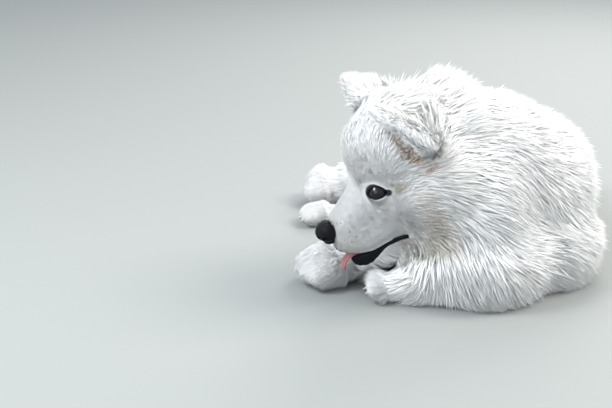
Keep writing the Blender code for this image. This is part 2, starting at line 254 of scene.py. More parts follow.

# Stains of the left side, and a painted olive shadow under the jaw, which the right side has
# too: centre and half sizes in the head's frame, colour, and strength.
RUST = (0.46, 0.26, 0.15)
BROWN = (0.28, 0.18, 0.12)
OLIVE = (0.50, 0.46, 0.32)
BEIGE = (0.62, 0.52, 0.42)
# Painted shadow: the olive-grey of the shade under the jaw.
PAINTED_SHADOW_OLIVE = (0.20, 0.20, 0.13)
STAINS_AND_SHADOW = [
    ((-0.0435, 0.0473, 0.0303), (0.0150, 0.0160, 0.0120), BROWN, 1.00),
    ((-0.0410, 0.0440, 0.0400), (0.0110, 0.0140, 0.0110), BROWN, 0.85),
    ((-0.0385, 0.0400, 0.0490), (0.0100, 0.0140, 0.0130), BROWN, 0.50),
    ((-0.0480, 0.0500, 0.0200), (0.0130, 0.0150, 0.0120), RUST, 1.00),
    ((-0.0545, 0.0560, 0.0060), (0.0090, 0.0120, 0.0060), RUST, 0.80),
    ((-0.0690, 0.0510, -0.0118), (0.0070, 0.0120, 0.0050), RUST, 0.55),
    ((-0.0200, 0.0460, 0.0000), (0.0140, 0.0140, 0.0080), OLIVE, 0.90),
    ((-0.0364, 0.0600, -0.0237), (0.0170, 0.0160, 0.0240), BEIGE, 0.50),
    ((-0.0341, 0.0570, -0.0534), (0.0210, 0.0180, 0.0260), BEIGE, 0.75),
    ((-0.0218, 0.0485, -0.0750), (0.0220, 0.0180, 0.0170), OLIVE, 0.70),
    # painted shadow under the jaw
    ((-0.0005, 0.0310, -0.0722), (0.0220, 0.0180, 0.0100), PAINTED_SHADOW_OLIVE, 0.55),
    ((-0.0385, 0.0541, -0.0830), (0.0190, 0.0200, 0.0220), BEIGE, 0.60),
    ((-0.0040, 0.0300, -0.0620), (0.0200, 0.0240, 0.0130), BROWN, 0.40),
    # painted shadow under the jaw
    ((-0.0080, 0.0285, -0.0830), (0.0300, 0.0240, 0.0110), PAINTED_SHADOW_OLIVE, 0.75),
    ((0.0440, 0.0180, -0.0400), (0.0120, 0.0120, 0.0120), BEIGE, 0.25),
]
STAIN_AND_SHADOW_GRAIN = 330.0
STAIN_AND_SHADOW_WANDER_SCALE, STAIN_AND_SHADOW_WANDER = 130.0, 0.014

# Dark hair round the lids and along the lip under the nose: middles, radii and cores.
DARK_HAIR = [
    ((-0.0012, 0.0248, -0.0006), (0.0124, 0.0124, 0.0124), 0.92),
    ((-0.0088, 0.0362, -0.0030), (0.0060, 0.0060, 0.0046), 0.5),
    ((0.0650, 0.0060, -0.0365), (0.0036, 0.0048, 0.0028), 0.5),
    ((0.0620, 0.0077, -0.0402), (0.0036, 0.0048, 0.0028), 0.5),
    ((0.0587, 0.0096, -0.0441), (0.0036, 0.0048, 0.0028), 0.5),
    ((0.0558, 0.0104, -0.0476), (0.0036, 0.0048, 0.0028), 0.5),
]

# The paws' middles from the body's place, their headings, radii and toes, and the claws.
PAWS = [
    ((-0.056, -0.176, 0.015), radians(170), (0.031, 0.024, 0.018), 0.0105),
    ((-0.120, -0.131, 0.021), radians(202), (0.038, 0.033, 0.026), 0.0140),
    ((-0.122, 0.068, 0.013), radians(180), (0.034, 0.020, 0.016), 0.0098),
    ((-0.114, 0.152, 0.023), radians(178), (0.036, 0.029, 0.028), 0.0135),
]
TOE_PLACES = (-1.5, -0.5, 0.5, 1.5)
CLAW_LENGTH, CLAW_RADIUS, CLAW_DROP = 0.0090, 0.0014, 0.0036

# Dark dots from which the whiskers grow, in the head's frame.
WHISKER_DOTS = [
    (0.0484, 0.0121, -0.0156),
    (0.0446, 0.0145, -0.0157),
    (0.0413, 0.0188, -0.0269),
    (0.0443, 0.0187, -0.0374),
    (0.0493, 0.0173, -0.0325),
    (0.0380, 0.0205, -0.0340),
]
DOT_RADIUS = 0.0011


# Meshes and numbers

def new_object(name, mesh):
    obj = bpy.data.objects.new(name, mesh)
    bpy.context.scene.collection.objects.link(obj)
    return obj


def object_from(bm, name):
    mesh = bpy.data.meshes.new(name)
    bm.to_mesh(mesh)
    bm.free()
    return new_object(name, mesh)


def drop(obj):
    bpy.data.objects.remove(obj, do_unlink=True)


def applied(obj):
    """Replaces an object's mesh by what its modifiers make of it."""
    graph = bpy.context.evaluated_depsgraph_get()
    mesh = bpy.data.meshes.new_from_object(obj.evaluated_get(graph))
    obj.modifiers.clear()
    obj.data = mesh
    return obj


def melted(obj, voxel, smoothing):
    """Melts closed shapes into one even skin of small squares."""
    remesh = obj.modifiers.new("melt", "REMESH")
    remesh.mode = "VOXEL"
    remesh.voxel_size = voxel
    soften = obj.modifiers.new("soften", "SMOOTH")
    soften.factor = 0.5
    soften.iterations = smoothing
    return applied(obj)


def vertex_places(mesh):
    places = np.empty(len(mesh.vertices) * 3, np.float32)
    mesh.vertices.foreach_get("co", places)
    return places.reshape(-1, 3).astype(float)


def move_vertices(mesh, places):
    mesh.vertices.foreach_set("co", places.astype(np.float32).ravel())
    mesh.update()


def vertex_normals(mesh):
    normals = np.empty(len(mesh.vertices) * 3, np.float32)
    mesh.vertex_normals.foreach_get("vector", normals)
    return normals.reshape(-1, 3).astype(float)


def edge_ends(mesh):
    ends = np.empty(len(mesh.edges) * 2, np.int32)
    mesh.edges.foreach_get("vertices", ends)
    return ends.reshape(-1, 2)


class Spreader:
    """Averages a value of each vertex with those of its neighbours along the edges."""

    def __init__(self, mesh):
        ends = edge_ends(mesh)
        self.source = np.concatenate([ends[:, 0], ends[:, 1]])
        self.target = np.concatenate([ends[:, 1], ends[:, 0]])
        self.count = len(mesh.vertices)
        self.degree = np.maximum(np.bincount(self.target, minlength=self.count), 1)

    def mean(self, values):
        columns = np.asarray(values, float).reshape(self.count, -1)
        sums = [
            np.bincount(self.target, column[self.source], self.count) for column in columns.T
        ]
        return (np.array(sums).T / self.degree[:, None]).reshape(np.shape(values))

    def spread(self, values, rounds, factor=0.5):
        for _ in range(rounds):
            values = values + factor * (self.mean(values) - values)
        return values


# The skin

def closed_copy(name, swell):
    """A copy of a solid with its surface moved outwards."""
    bm = bmesh.new()
    bm.from_mesh(frame["nodes"][name].data)
    bmesh.ops.remove_doubles(bm, verts=bm.verts, dist=WELD)
    bm.normal_update()
    normals = [v.normal.copy() for v in bm.verts]
    for vertex, normal in zip(bm.verts, normals):
        vertex.co += normal * swell
    return object_from(bm, name + "_swollen")


def joined(objects, name):
    bm = bmesh.new()
    for obj in objects:
        bm.from_mesh(obj.data)
        drop(obj)
    return object_from(bm, name)


def cut(obj, tool):
    """Takes another closed shape out of this one."""
    modifier = obj.modifiers.new("cut", "BOOLEAN")
    modifier.operation = "DIFFERENCE"
    modifier.solver = "EXACT"
    modifier.object = tool
    applied(obj)
    drop(tool)


def gape_width(x):
    knots = np.array(GAPE_HALF_WIDTH).T
    return np.interp(x, knots[0], knots[1])


def gape_prism():
    """The space between the lips, from the mouth's corner to beyond its front."""
    outline = [(x, upper) for x, upper, _ in GAPE] + [(x, lower) for x, _, lower in reversed(GAPE)]
    bm = bmesh.new()
    sides = []
    for side in (-1, 1):
        ring = [(x, side * gape_width(x), z) for x, z in outline]
        sides.append([bm.verts.new(HEAD @ Vector(point)) for point in ring])
    right, left = sides
    bm.faces.new(right)
    bm.faces.new(reversed(left))
    for i in range(len(outline)):
        j = (i + 1) % len(outline)
        bm.faces.new((right[j], right[i], left[i], left[j]))
    bmesh.ops.recalc_face_normals(bm, faces=bm.faces)
    return object_from(bm, "gape")


def ball_chain(bm, joints, side):
    """Balls in the head's frame along (point, radius) joints, close enough to melt."""
    for (start, r_start), (end, r_end) in zip(joints, joints[1:]):
        steps = max(2, int((Vector(end) - Vector(start)).length / (0.3 * min(r_start, r_end))))
        for t in np.linspace(0.0, 1.0, steps + 1):
            x, y, z = Vector(start).lerp(Vector(end), t)
            radius = r_start + (r_end - r_start) * t
            place = HEAD @ Matrix.Translation((x, y * side, z))
            bmesh.ops.create_icosphere(bm, subdivisions=3, radius=radius, matrix=place)


def both_sides(joints, name):
    bm = bmesh.new()
    ball_chain(bm, joints, 1)
    ball_chain(bm, joints, -1)
    return object_from(bm, name)


class Solids:
    """Finds which solid is nearest to a point, and how far it is."""

    def __init__(self, names):
        self.names = list(names)
        points, faces, self.owner = [], [], []
        for number, name in enumerate(self.names):
            mesh = frame["nodes"][name].data
            mesh.calc_loop_triangles()
            start = len(points)
            points.extend(v.co.copy() for v in mesh.vertices)
            for triangle in mesh.loop_triangles:
                faces.append([start + i for i in triangle.vertices])
                self.owner.append(number)
        self.tree = BVHTree.FromPolygons(points, faces)

    def owners(self, places):
        return np.array([self.owner[self.tree.find_nearest(p)[2]] for p in places])

    def distances(self, places):
        return np.array([self.tree.find_nearest(p)[3] for p in places])

    def owned(self, owner, *names):
        """True for the vertices whose nearest solid is one of the named ones."""
        return np.isin(owner, [self.names.index(n) for n in names if n in self.names])


def face_depth(places):
    """How deep the coat is on the head: shallow on the muzzle, deep on cheeks and nape."""
    x, y, z = to_head(places).T
    depth = 0.0018 + 0.0014 * smooth_step(-x, -0.030, -0.005)
    depth += 0.0060 * smooth_step(-x, 0.010, 0.050) + 0.0060 * smooth_step(-x, 0.045, 0.095)
    depth += 0.0020 * smooth_step(z, 0.020, 0.055)
    depth += 0.0040 * smooth_step(-z, 0.015, 0.060) * smooth_step(-x, -0.005, 0.040)
    return depth


class Origin:
    """From which solid each part of the sunken surface came, and how deep it sank."""

    def __init__(self, places, owner, depth):
        self.places = places
        self.owner = owner
        self.depth = depth


def coat_depth(places, owner, solids, spreader):
    """How far the skin lies under the tips of the coat, at each of its vertices."""
    by_solid = np.array([COAT_DEPTH[name] for name in solids.names])[owner]
    depth = np.where(solids.owned(owner, "head"), face_depth(places), by_solid)
    smooth = spreader.spread(depth, 90)
    face = solids.owned(owner, "head", "jaw")
    face = face * smooth_step(to_head(places)[:, 0], -0.050, -0.020)
    return smooth + (depth - smooth) * spreader.spread(face, 3)


def shrunk(obj, depth):
    """Moves the skin inwards by the coat's depth, in small steps that keep it even.

    Near the floor it moves sideways only, so that the body still rests on a flat."""
    mesh = obj.data
    spreader = Spreader(mesh)
    places = vertex_places(mesh)
    for _ in range(SHRINK_STEPS):
        inward = -vertex_normals(mesh)
        inward[:, 2] *= smooth_step(places[:, 2], REST_LOW, REST_HIGH)
        moves = spreader.spread(inward * (depth / SHRINK_STEPS)[:, None], 4)
        places = spreader.spread(places + moves, 1, 0.35)
        move_vertices(mesh, places)


def under_chin(name, above):
    """A solid that lies under the chin, with room made for the chin."""
    obj = closed_copy(name, SOLID_OVERLAP)
    bm = bmesh.new()
    bm.from_mesh(obj.data)
    bmesh.ops.subdivide_edges(bm, edges=bm.edges, cuts=2, use_grid_fill=True)
    bmesh.ops.triangulate(bm, faces=bm.faces)
    bm.to_mesh(obj.data)
    bm.free()
    places = vertex_places(obj.data)
    near = 1.0 - smooth_step(above.distances(places), CHIN_NEAR, CHIN_FAR)
    moves = Spreader(obj.data).spread(vertex_normals(obj.data) * (near * CHIN_ROOM)[:, None], 2)
    move_vertices(obj.data, places - moves)
    return obj


def flesh_shell():
    """The flesh's solids in one mesh, each a little swollen so that it meets the next."""
    chin = Solids(("head", "jaw"))
    shells = [closed_copy(n, SOLID_OVERLAP) for n in FLESH if n not in CHIN_RESTS_ON]
    shells += [under_chin(name, chin) for name in CHIN_RESTS_ON]
    eye_fill = [(EYE_ROOM, EYE_RADIUS), (EYE_ROOM, EYE_RADIUS)]
    return joined([*shells, both_sides(LIP_FILL, "lip_fill"), both_sides(eye_fill, "eye_fill")],
                  "flesh")


def base_skin(solids):
    """The solids' melted surface, sunk by the coat's depth."""
    obj = melted(flesh_shell(), SKIN_VOXEL, 6)
    places = vertex_places(obj.data)
    owner = solids.owners(places)
    depth = coat_depth(places, owner, solids, Spreader(obj.data))
    shrunk(obj, depth)
    origin = Origin(vertex_places(obj.data), owner, depth)
    flesh = [obj, both_sides(JAW_CORE, "jaw_core")]
    return melted(joined(flesh, "skin"), SKIN_VOXEL, 3), origin


def largest_island(obj):
    """Takes out every lump that isn't joined to the largest one."""
    bm = bmesh.new()
    bm.from_mesh(obj.data)
    islands = []
    left = set(bm.verts)
    while left:
        island, edge = set(), [left.pop()]
        while edge:
            vertex = edge.pop()
            island.add(vertex)
            found = {e.other_vert(vertex) for e in vertex.link_edges} & left
            left -= found
            edge.extend(found)
        islands.append(island)
    islands.sort(key=len)
    for island in islands[:-1]:
        bmesh.ops.delete(bm, geom=list(island), context="VERTS")
    bm.to_mesh(obj.data)
    bm.free()


def refined(obj, zone):
    """Halves the squares of the skin where the zone, given places in the head, is true."""
    inside = zone(*to_head(vertex_places(obj.data)).T)
    bm = bmesh.new()
    bm.from_mesh(obj.data)
    edges = [e for e in bm.edges if inside[e.verts[0].index] and inside[e.verts[1].index]]
    bmesh.ops.subdivide_edges(bm, edges=edges, cuts=1, use_grid_fill=True)
    bmesh.ops.triangulate(bm, faces=[f for f in bm.faces if len(f.verts) > 4])
    bm.to_mesh(obj.data)
    bm.free()


def on_face(x, y, z):
    return (x > -0.045) & (z > -0.082) & (np.abs(y) < 0.050)


def near_features(x, y, z):
    eye_x, eye_y, eye_z = EYE_PLACE
    by_eye = np.sqrt((x - eye_x) ** 2 + (np.abs(y) - eye_y) ** 2 + (z - eye_z) ** 2) < 0.021
    by_mouth = (x > -0.016) & (z > -0.076) & (z < -0.046)
    return by_eye | by_mouth


def mouth_walls(mesh):
    """True for the faces that the gape's cut left inside the mouth."""
    centres = np.empty(len(mesh.polygons) * 3, np.float32)
    mesh.polygons.foreach_get("center", centres)
    x, y, z = to_head(centres.reshape(-1, 3).astype(float)).T
    knots = np.array(GAPE).T
    off_upper = np.abs(z - np.interp(x, knots[0], knots[1]))
    off_lower = np.abs(z - np.interp(x, knots[0], knots[2]))
    inside = (x > GAPE[0][0]) & (np.abs(y) < gape_width(x))
    return inside & (np.minimum(off_upper, off_lower) < WELD * 2)


def make_skin(solids, look, mouth_look):
    """The whole animal's skin, with lids round the eyes and an open mouth."""
    skin, origin = base_skin(solids)
    largest_island(skin)
    fill_creases(skin, origin, solids)
    refined(skin, on_face)
    spread_face(skin)
    refined(skin, near_features)
    wrap_eyes(skin)
    cut(skin, gape_prism())
    skin.data.materials.append(look)
    skin.data.materials.append(mouth_look)
    skin.data.polygons.foreach_set("material_index", mouth_walls(skin.data).astype(np.int32))
    skin.data.shade_smooth()
    return skin, origin


def fill_creases(skin, origin, solids):
    """Smooths the skin where trunk, legs, paws and tail meet, so that no rim is left there."""
    spreader = Spreader(skin.data)
    places = vertex_places(skin.data)
    owner = origin.owner[nearest_rows(origin.places, places)]
    border = np.zeros(len(places))
    for number, name in enumerate(solids.names):
        if name in CREASED:
            share = spreader.spread((owner == number).astype(float), CREASE_ROUNDS)
            border += share * (1.0 - share)
    weight = smooth_step(border, 0.06, 0.30)[:, None]
    places += weight * (spreader.spread(places, CREASE_SPREAD) - places)
    places[:, 2] = np.maximum(places[:, 2], 0.0)
    move_vertices(skin.data, places)


def spread_face(skin):
    """Smooths the face a little after its squares were halved."""
    spreader = Spreader(skin.data)
    places = vertex_places(skin.data)
    inside = on_face(*to_head(places).T)[:, None]
    move_vertices(skin.data, np.where(inside, spreader.spread(places, 2), places))


# The eyes

class Eye:
    """Directions round one eye and the almond of its lids, in the head's own frame."""

    def __init__(self, side):
        x, y, z = EYE_PLACE
        self.centre = np.array((x, y * side, z))
        level = cos(EYE_ELEVATION)
        forward, left = cos(EYE_AZIMUTH) * level, sin(EYE_AZIMUTH) * level
        self.axis = np.array((forward, left * side, sin(EYE_ELEVATION)))
        up = unit(np.array((0.0, 0.0, 1.0)) - self.axis[2] * self.axis)
        back = side * np.cross(up, self.axis)
        self.back = back * cos(LID_TILT) + up * sin(LID_TILT)
        self.up = up * cos(LID_TILT) - back * sin(LID_TILT)

    def angles(self, places):
        """How far round towards the outer corner, how far up, and how far from the centre."""
        out = places - self.centre
        ray = unit(out)
        across, above = ray @ self.back, ray @ self.up
        turn = np.arccos(np.clip(ray @ self.axis, -1.0, 1.0))
        flat = np.maximum(np.hypot(across, above), 1e-9)
        return turn * across / flat, turn * above / flat, np.linalg.norm(out, axis=-1)

    def almond(self, across, above):
        """Below 1 inside the opening of the lids, and above 1 outside it."""
        wide = np.where(across > 0, LID_OUTER, LID_INNER)
        high = np.where(above > 0, LID_UPPER, LID_LOWER)
        return (across / wide) ** 2 + np.abs(above) / high

    def opens_at(self, places):
        """True for places, in the row frame, that lie in the opening or on its very edge."""
        across, above, radius = self.angles(to_head(places))
        near = (np.hypot(across, above) < pi * 0.6) & (radius < EYE_RADIUS + 2 * LID_THICKNESS)
        return near & (self.almond(across, above) < OPENING_EDGE)

    def points(self, across, above, radius):
        turn = np.maximum(np.hypot(across, above), 1e-9)
        tangent = np.outer(across / turn, self.back) + np.outer(above / turn, self.up)
        ray = np.outer(np.cos(turn), self.axis) + tangent * np.sin(turn)[:, None]
        return self.centre + ray * radius

    def lid_line(self, share, upper, radius):
        """Points of the almond's edge; share runs from -1, the inner corner, to 1."""
        wide = np.where(share > 0, LID_OUTER, LID_INNER)
        high = np.where(upper, LID_UPPER, -LID_LOWER)
        return self.points(share * wide, high * (1.0 - share**2), radius)


def smooth_larger(first, second, blend):
    """The larger of two values, with a round passage from one to the other."""
    near = np.clip(0.5 + 0.5 * (first - second) / blend, 0.0, 1.0)
    return second + (first - second) * near + blend * near * (1.0 - near)


def wrap_eyes(skin):
    """Draws the skin over each eyeball as lids, and tucks it in behind the opening."""
    mesh = skin.data
    places = to_head(vertex_places(mesh))
    for side in (1, -1):
        eye = Eye(side)
        across, above, radius = eye.angles(places)
        measure = eye.almond(across, above)
        lid = EYE_RADIUS + LID_THICKNESS * smooth_step(measure, 0.95, 1.4)
        shaped = smooth_larger(radius, lid, LID_BLEND)
        shaped = np.where(measure < 0.97, EYE_RADIUS * SOCKET_DEPTH, shaped)
        fade = 1.0 - smooth_step(radius, EYE_REACH * 0.75, EYE_REACH)
        shaped = radius + (shaped - radius) * fade
        near = (np.hypot(across, above) < pi * 0.6) & (radius < EYE_REACH)
        moved = eye.centre + unit(places - eye.centre) * shaped[:, None]
        places = np.where(near[:, None], moved, places)
    move_vertices(mesh, from_head(places))


def loft(name, rings, round_path=False):
    """A closed surface through rings of points in the head's frame, all of the same count."""
    bm = bmesh.new()
    verts = [[bm.verts.new(p) for p in from_head(ring)] for ring in rings]
    pairs = list(zip(verts, verts[1:]))
    if round_path:
        pairs.append((verts[-1], verts[0]))
    else:
        bm.faces.new(verts[0])
        bm.faces.new(verts[-1])
    count = len(verts[0])
    for first, second in pairs:
        for i in range(count):
            j = (i + 1) % count
            bm.faces.new((first[i], first[j], second[j], second[i]))
    bmesh.ops.recalc_face_normals(bm, faces=bm.faces)
    obj = object_from(bm, name)
    obj.data.shade_smooth()
    return obj


def roll(path, along, outwards, thick, high, sides=12):
    """Oval rings along a path: thick towards the outside, high across it."""
    across = unit(np.cross(along, outwards))
    turn = np.linspace(0, 2 * pi, sides, endpoint=False)
    rings = []
    for i, place in enumerate(path):
        ring = np.outer(np.cos(turn) * thick[i], outwards[i])
        ring += np.outer(np.sin(turn) * high[i], across[i])
        rings.append(place + ring)
    return rings


def lid_rim(eye, name):
    """The bare black edge of both lids, thicker above, drawn out at the corners."""
    turn = np.linspace(pi, -pi, RIM_POINTS, endpoint=False)
    share, upper = np.cos(turn), np.sin(turn) > 0
    path = eye.lid_line(share, upper, EYE_RADIUS + LID_EDGE_LIFT)
    corner = np.abs(share) ** 6
    high = LID_EDGE_HALF * (0.85 + 0.35 * upper + 0.7 * corner)
    thick = LID_EDGE_HALF * (0.8 + 0.2 * upper + 0.1 * corner)
    along = unit(np.roll(path, -1, 0) - np.roll(path, 1, 0))
    return loft(name, roll(path, along, unit(path - eye.centre), thick, high), round_path=True)


def eyeball(eye, name):
    """A ball with the cornea's bulge; each vertex keeps how far it is from the pupil."""
    bm = bmesh.new()
    bmesh.ops.create_uvsphere(bm, u_segments=56, v_segments=40, radius=1.0)
    pole = Vector(eye.axis).to_track_quat("Z", "Y").to_matrix().to_4x4()
    turns = [v.co.angle(Vector((0, 0, 1))) for v in bm.verts]
    for vertex, turn in zip(bm.verts, turns):
        bulge = CORNEA_BULGE * max(0.0, 1.0 - (turn / CORNEA_REACH) ** 2)
        vertex.co = vertex.co.normalized() * (EYE_RADIUS + bulge)
    bmesh.ops.transform(bm, matrix=HEAD @ Matrix.Translation(eye.centre) @ pole, verts=bm.verts)
    ball = object_from(bm, name)
    ball.data.shade_smooth()
    ring = ball.data.attributes.new("from_pupil", "FLOAT", "POINT")
    ring.data.foreach_set("value", np.array(turns, np.float32))
    return ball


# The nose

def ellipsoid(bm, centre, radii, turn=(0.0, 0.0, 0.0)):
    place = HEAD @ Matrix.Translation(centre) @ Euler(turn).to_matrix().to_4x4()
    stretch = Matrix.Diagonal((*radii, 1.0))
    bmesh.ops.create_icosphere(bm, subdivisions=4, radius=1.0, matrix=place @ stretch)


def pair(centre, turn=(0.0, 0.0, 0.0)):
    """The place and turn on the left and, where it isn't in the middle, on the right."""
    x, y, z = centre
    roll_x, pitch_y, yaw_z = turn
    sides = (1, -1) if y else (1,)
    return [((x, y * side, z), (roll_x * side, pitch_y, yaw_z * side)) for side in sides]


def nose_leather():
    """The leather with its comma-shaped nostrils and the groove down to the lip."""
    bm = bmesh.new()
    for centre, radii in NOSE_MASSES:
        for place, turn in pair(centre):
            ellipsoid(bm, place, radii, turn)
    nose = melted(object_from(bm, "nose_leather"), NOSE_VOXEL, 5)
    bm = bmesh.new()
    for centre, radii, tilt in NOSTRIL_CUTS:
        for place, turn in pair(centre, tilt):
            ellipsoid(bm, place, radii, turn)
    cut(nose, melted(object_from(bm, "nostrils"), NOSE_VOXEL * 0.6, 1))
    nose = melted(nose, NOSE_VOXEL * 0.7, 3)
    nose.data.shade_smooth()
    return nose


# The mouth

def lip_height(column):
    """Height of the upper (1) or lower (2) lip as a function of x in the head's frame."""
    knots = np.array(GAPE).T
    return lambda x: float(np.interp(x, knots[0], knots[column]))


def skin_edge(tree, height):
    """The skin's outline round the mouth, from its right corner by the front to its left one."""
    reach = np.linspace(LIP_CORNER_X, LIP_TURN_X, LIP_SIDE_POINTS)
    rays = [((x, -LIP_SIDE_FAR), (x, 0.0)) for x in reach]
    for turn in np.linspace(-LIP_TURN, LIP_TURN, LIP_FRONT_POINTS):
        start = (LIP_TURN_X + LIP_FRONT_FAR * cos(turn), LIP_FRONT_FAR * sin(turn))
        rays.append((start, (LIP_TURN_X, 0.0)))
    rays += [((x, LIP_SIDE_FAR), (x, 0.0)) for x in reversed(reach)]
    edge = []
    for (start_x, start_y), (goal_x, goal_y) in rays:
        hit_x = goal_x
        for _ in range(3):
            z = height(hit_x)
            start = Vector(from_head((start_x, start_y, z)))
            goal = Vector(from_head((goal_x, goal_y, z)))
            found = tree.ray_cast(start, (goal - start).normalized())[0]
            hit = to_head(np.array(found if found else goal))
            hit_x = hit[0]
        edge.append(hit)
    edge = np.array(edge)
    for _ in range(5):
        edge[1:-1] = 0.5 * edge[1:-1] + 0.25 * (edge[:-2] + edge[2:])
    return edge


def lip(name, tree, column, sizes):
    """A bare black roll along one lip; it grows and thins with x as its sizes say."""
    knots = np.array(sizes).T
    flesh = lip_height(column)
    upwards = 1.0 if column == 2 else -1.0

    def middle(x):
        return flesh(x) + upwards * (LIP_RISE - float(np.interp(x, knots[0], knots[1])))

    path = skin_edge(tree, middle)
    along = unit(np.gradient(path, axis=0))
    outwards = np.cross(along, (0.0, 0.0, 1.0))
    ahead = np.linspace(0.0, 1.0, len(path))
    crinkle = 1.0 + LIP_CRINKLE * np.sin(ahead * 95.0) * np.sin(ahead * 37.0 + 1.0)
    high = np.interp(path[:, 0], knots[0], knots[1]) * crinkle
    thick = np.interp(path[:, 0], knots[0], knots[2])
    return loft(name, roll(path, along, unit(outwards), thick, high))


def tongue():
    """A thin tongue that lies on the jaw, dips along its middle and hangs over the front."""
    knots = np.array(TONGUE_LINE)
    share = np.linspace(0.0, 1.0, 34)
    reach = np.linspace(0.0, 1.0, len(knots))
    line = np.array([np.interp(share, reach, column) for column in knots.T]).T
    for _ in range(8):
        line[1:-1] = 0.5 * line[1:-1] + 0.25 * (line[:-2] + line[2:])
    above = unit(np.cross(np.gradient(line, axis=0), (0.0, 1.0, 0.0)))
    above *= np.sign(above @ (0.35, 0.0, 1.0))[:, None]
    turn = np.linspace(0, 2 * pi, 24, endpoint=False)
    rings = []
    for t, place, up in zip(share, line, above):
        tip = max(0.0, (t - 0.74) / 0.26)
        half = TONGUE_HALF_WIDTH * sqrt(max(0.03, 1.0 - tip**2.6))
        thick = TONGUE_HALF_THICKNESS * (1.0 - 0.35 * t)
        groove = TONGUE_GROOVE * np.exp(-((np.cos(turn) / 0.3) ** 2)) * (np.sin(turn) > 0)
        sag = TONGUE_GROOVE * 1.5 * np.cos(turn) ** 2
        ring = np.outer(np.cos(turn) * half, (0.0, 1.0, 0.0))
        ring += np.outer(np.sin(turn) * thick - groove + sag, up)
        rings.append(place + ring)
    return loft("tongue_tip", rings)


# The claws

def claw(bm, frame):
    """A short cone that leaves its toe at the frame's place and bends down to a blunt tip."""
    rings = []
    for t in np.linspace(0.0, 1.0, 6):
        radius = CLAW_RADIUS * (0.2 + 0.8 * (1.0 - t) ** 0.7)
        ring = []
        for turn in np.linspace(0, 2 * pi, 10, endpoint=False):
            high = 1.3 * radius * sin(turn) - CLAW_DROP * t * t
            ring.append(bm.verts.new(frame @ Vector((CLAW_LENGTH * t, radius * cos(turn), high))))
        rings.append(ring)
    for first, second in zip(rings, rings[1:]):
        for i in range(10):
            j = (i + 1) % 10
            bm.faces.new((first[i], first[j], second[j], second[i]))
    bm.faces.new(rings[0])
    bm.faces.new(rings[-1])


def claws():
    """Four claws a paw, each in the middle of its toe's front."""
    bm = bmesh.new()
    for centre, heading, radii, toe in PAWS:
        paw = Matrix.Translation(BODY_PLACE) @ Matrix.Translation(centre)
        paw = paw @ Matrix.Rotation(heading, 4, "Z")
        for place in TOE_PLACES:
            ahead = radii[0] * 0.62 - abs(place) * toe * 0.35 + toe * 0.5
            seat = Matrix.Translation((ahead, place * toe * 1.15, -radii[2] * 0.12))
            claw(bm, paw @ seat)
    bmesh.ops.recalc_face_normals(bm, faces=bm.faces)
    obj = object_from(bm, "claws")
    obj.data.shade_smooth()
    return obj


# Materials

class Look:
    """A material's node tree, with short ways to add and link nodes."""

    def __init__(self, name, colour, roughness):
        self.material = bpy.data.materials.new(name)
        self.material.use_nodes = True
        self.tree = self.material.node_tree
        self.shader = self.tree.nodes["Principled BSDF"]
        self.set("Base Color", (*colour, 1.0))
        self.set("Roughness", roughness)

    def set(self, socket, value):
        self.shader.inputs[socket].default_value = value

    def node(self, kind, **settings):
        node = self.tree.nodes.new(kind)
        for key, value in settings.items():
            setattr(node, key, value)
        return node

    def link(self, output, target):
        self.tree.links.new(output, target)
        return output

    def fill(self, node, **values):
        for key, value in values.items():
            socket = node.inputs[key]
            if isinstance(value, bpy.types.NodeSocket):
                self.link(value, socket)
            else:
                socket.default_value = value
        return node

    def place(self):
        return self.node("ShaderNodeTexCoord").outputs["Object"]

    def noise(self, scale, detail=3.0, roughness=0.5):
        node = self.node("ShaderNodeTexNoise")
        self.fill(node, Vector=self.place(), Scale=scale, Detail=detail, Roughness=roughness)
        return node.outputs["Fac"]

    def cells(self, scale):
        node = self.node("ShaderNodeTexVoronoi", feature="F1")
        self.fill(node, Vector=self.place(), Scale=scale)
        return node.outputs["Distance"]

    def ranged(self, value, low, high, out_low=0.0, out_high=1.0):
        node = self.node("ShaderNodeMapRange", interpolation_type="SMOOTHSTEP")
        for index, item in enumerate((value, low, high, out_low, out_high)):
            if isinstance(item, bpy.types.NodeSocket):
                self.link(item, node.inputs[index])
            else:
                node.inputs[index].default_value = item
        return node.outputs["Result"]

    def maths(self, operation, *values):
        node = self.node("ShaderNodeMath", operation=operation)
        for index, item in enumerate(values):
            if isinstance(item, bpy.types.NodeSocket):
                self.link(item, node.inputs[index])
            else:
                node.inputs[index].default_value = item
        return node.outputs[0]

    def mixed(self, share, first, second):
        """A mix of two colours, each an RGB tuple or a socket."""
        node = self.node("ShaderNodeMix", data_type="RGBA")
        for index, item in ((0, share), (6, first), (7, second)):
            if isinstance(item, bpy.types.NodeSocket):
                self.link(item, node.inputs[index])
            else:
                node.inputs[index].default_value = item if index == 0 else (*item, 1.0)
        return node.outputs[2]

    def attribute(self, name):
        node = self.node("ShaderNodeAttribute", attribute_name=name)
        return node.outputs["Fac"]

    def bump(self, height, strength, distance):
        node = self.node("ShaderNodeBump")
        self.fill(node, Height=height, Strength=strength, Distance=distance)
        self.link(node.outputs["Normal"], self.shader.inputs["Normal"])


def folded_head(look):
    """The place in the head's frame, with its right side folded over onto the left."""
    mapping = look.node("ShaderNodeMapping", vector_type="TEXTURE")
    mapping.inputs["Location"].default_value = HEAD_PLACE
    mapping.inputs["Rotation"].default_value = HEAD.to_euler()
    look.link(look.place(), mapping.inputs["Vector"])
    parts = look.node("ShaderNodeSeparateXYZ")
    look.link(mapping.outputs["Vector"], parts.inputs[0])
    folded = look.node("ShaderNodeCombineXYZ")
    look.link(parts.outputs["X"], folded.inputs["X"])
    look.link(look.maths("ABSOLUTE", parts.outputs["Y"]), folded.inputs["Y"])
    look.link(parts.outputs["Z"], folded.inputs["Z"])
    return folded.outputs[0]


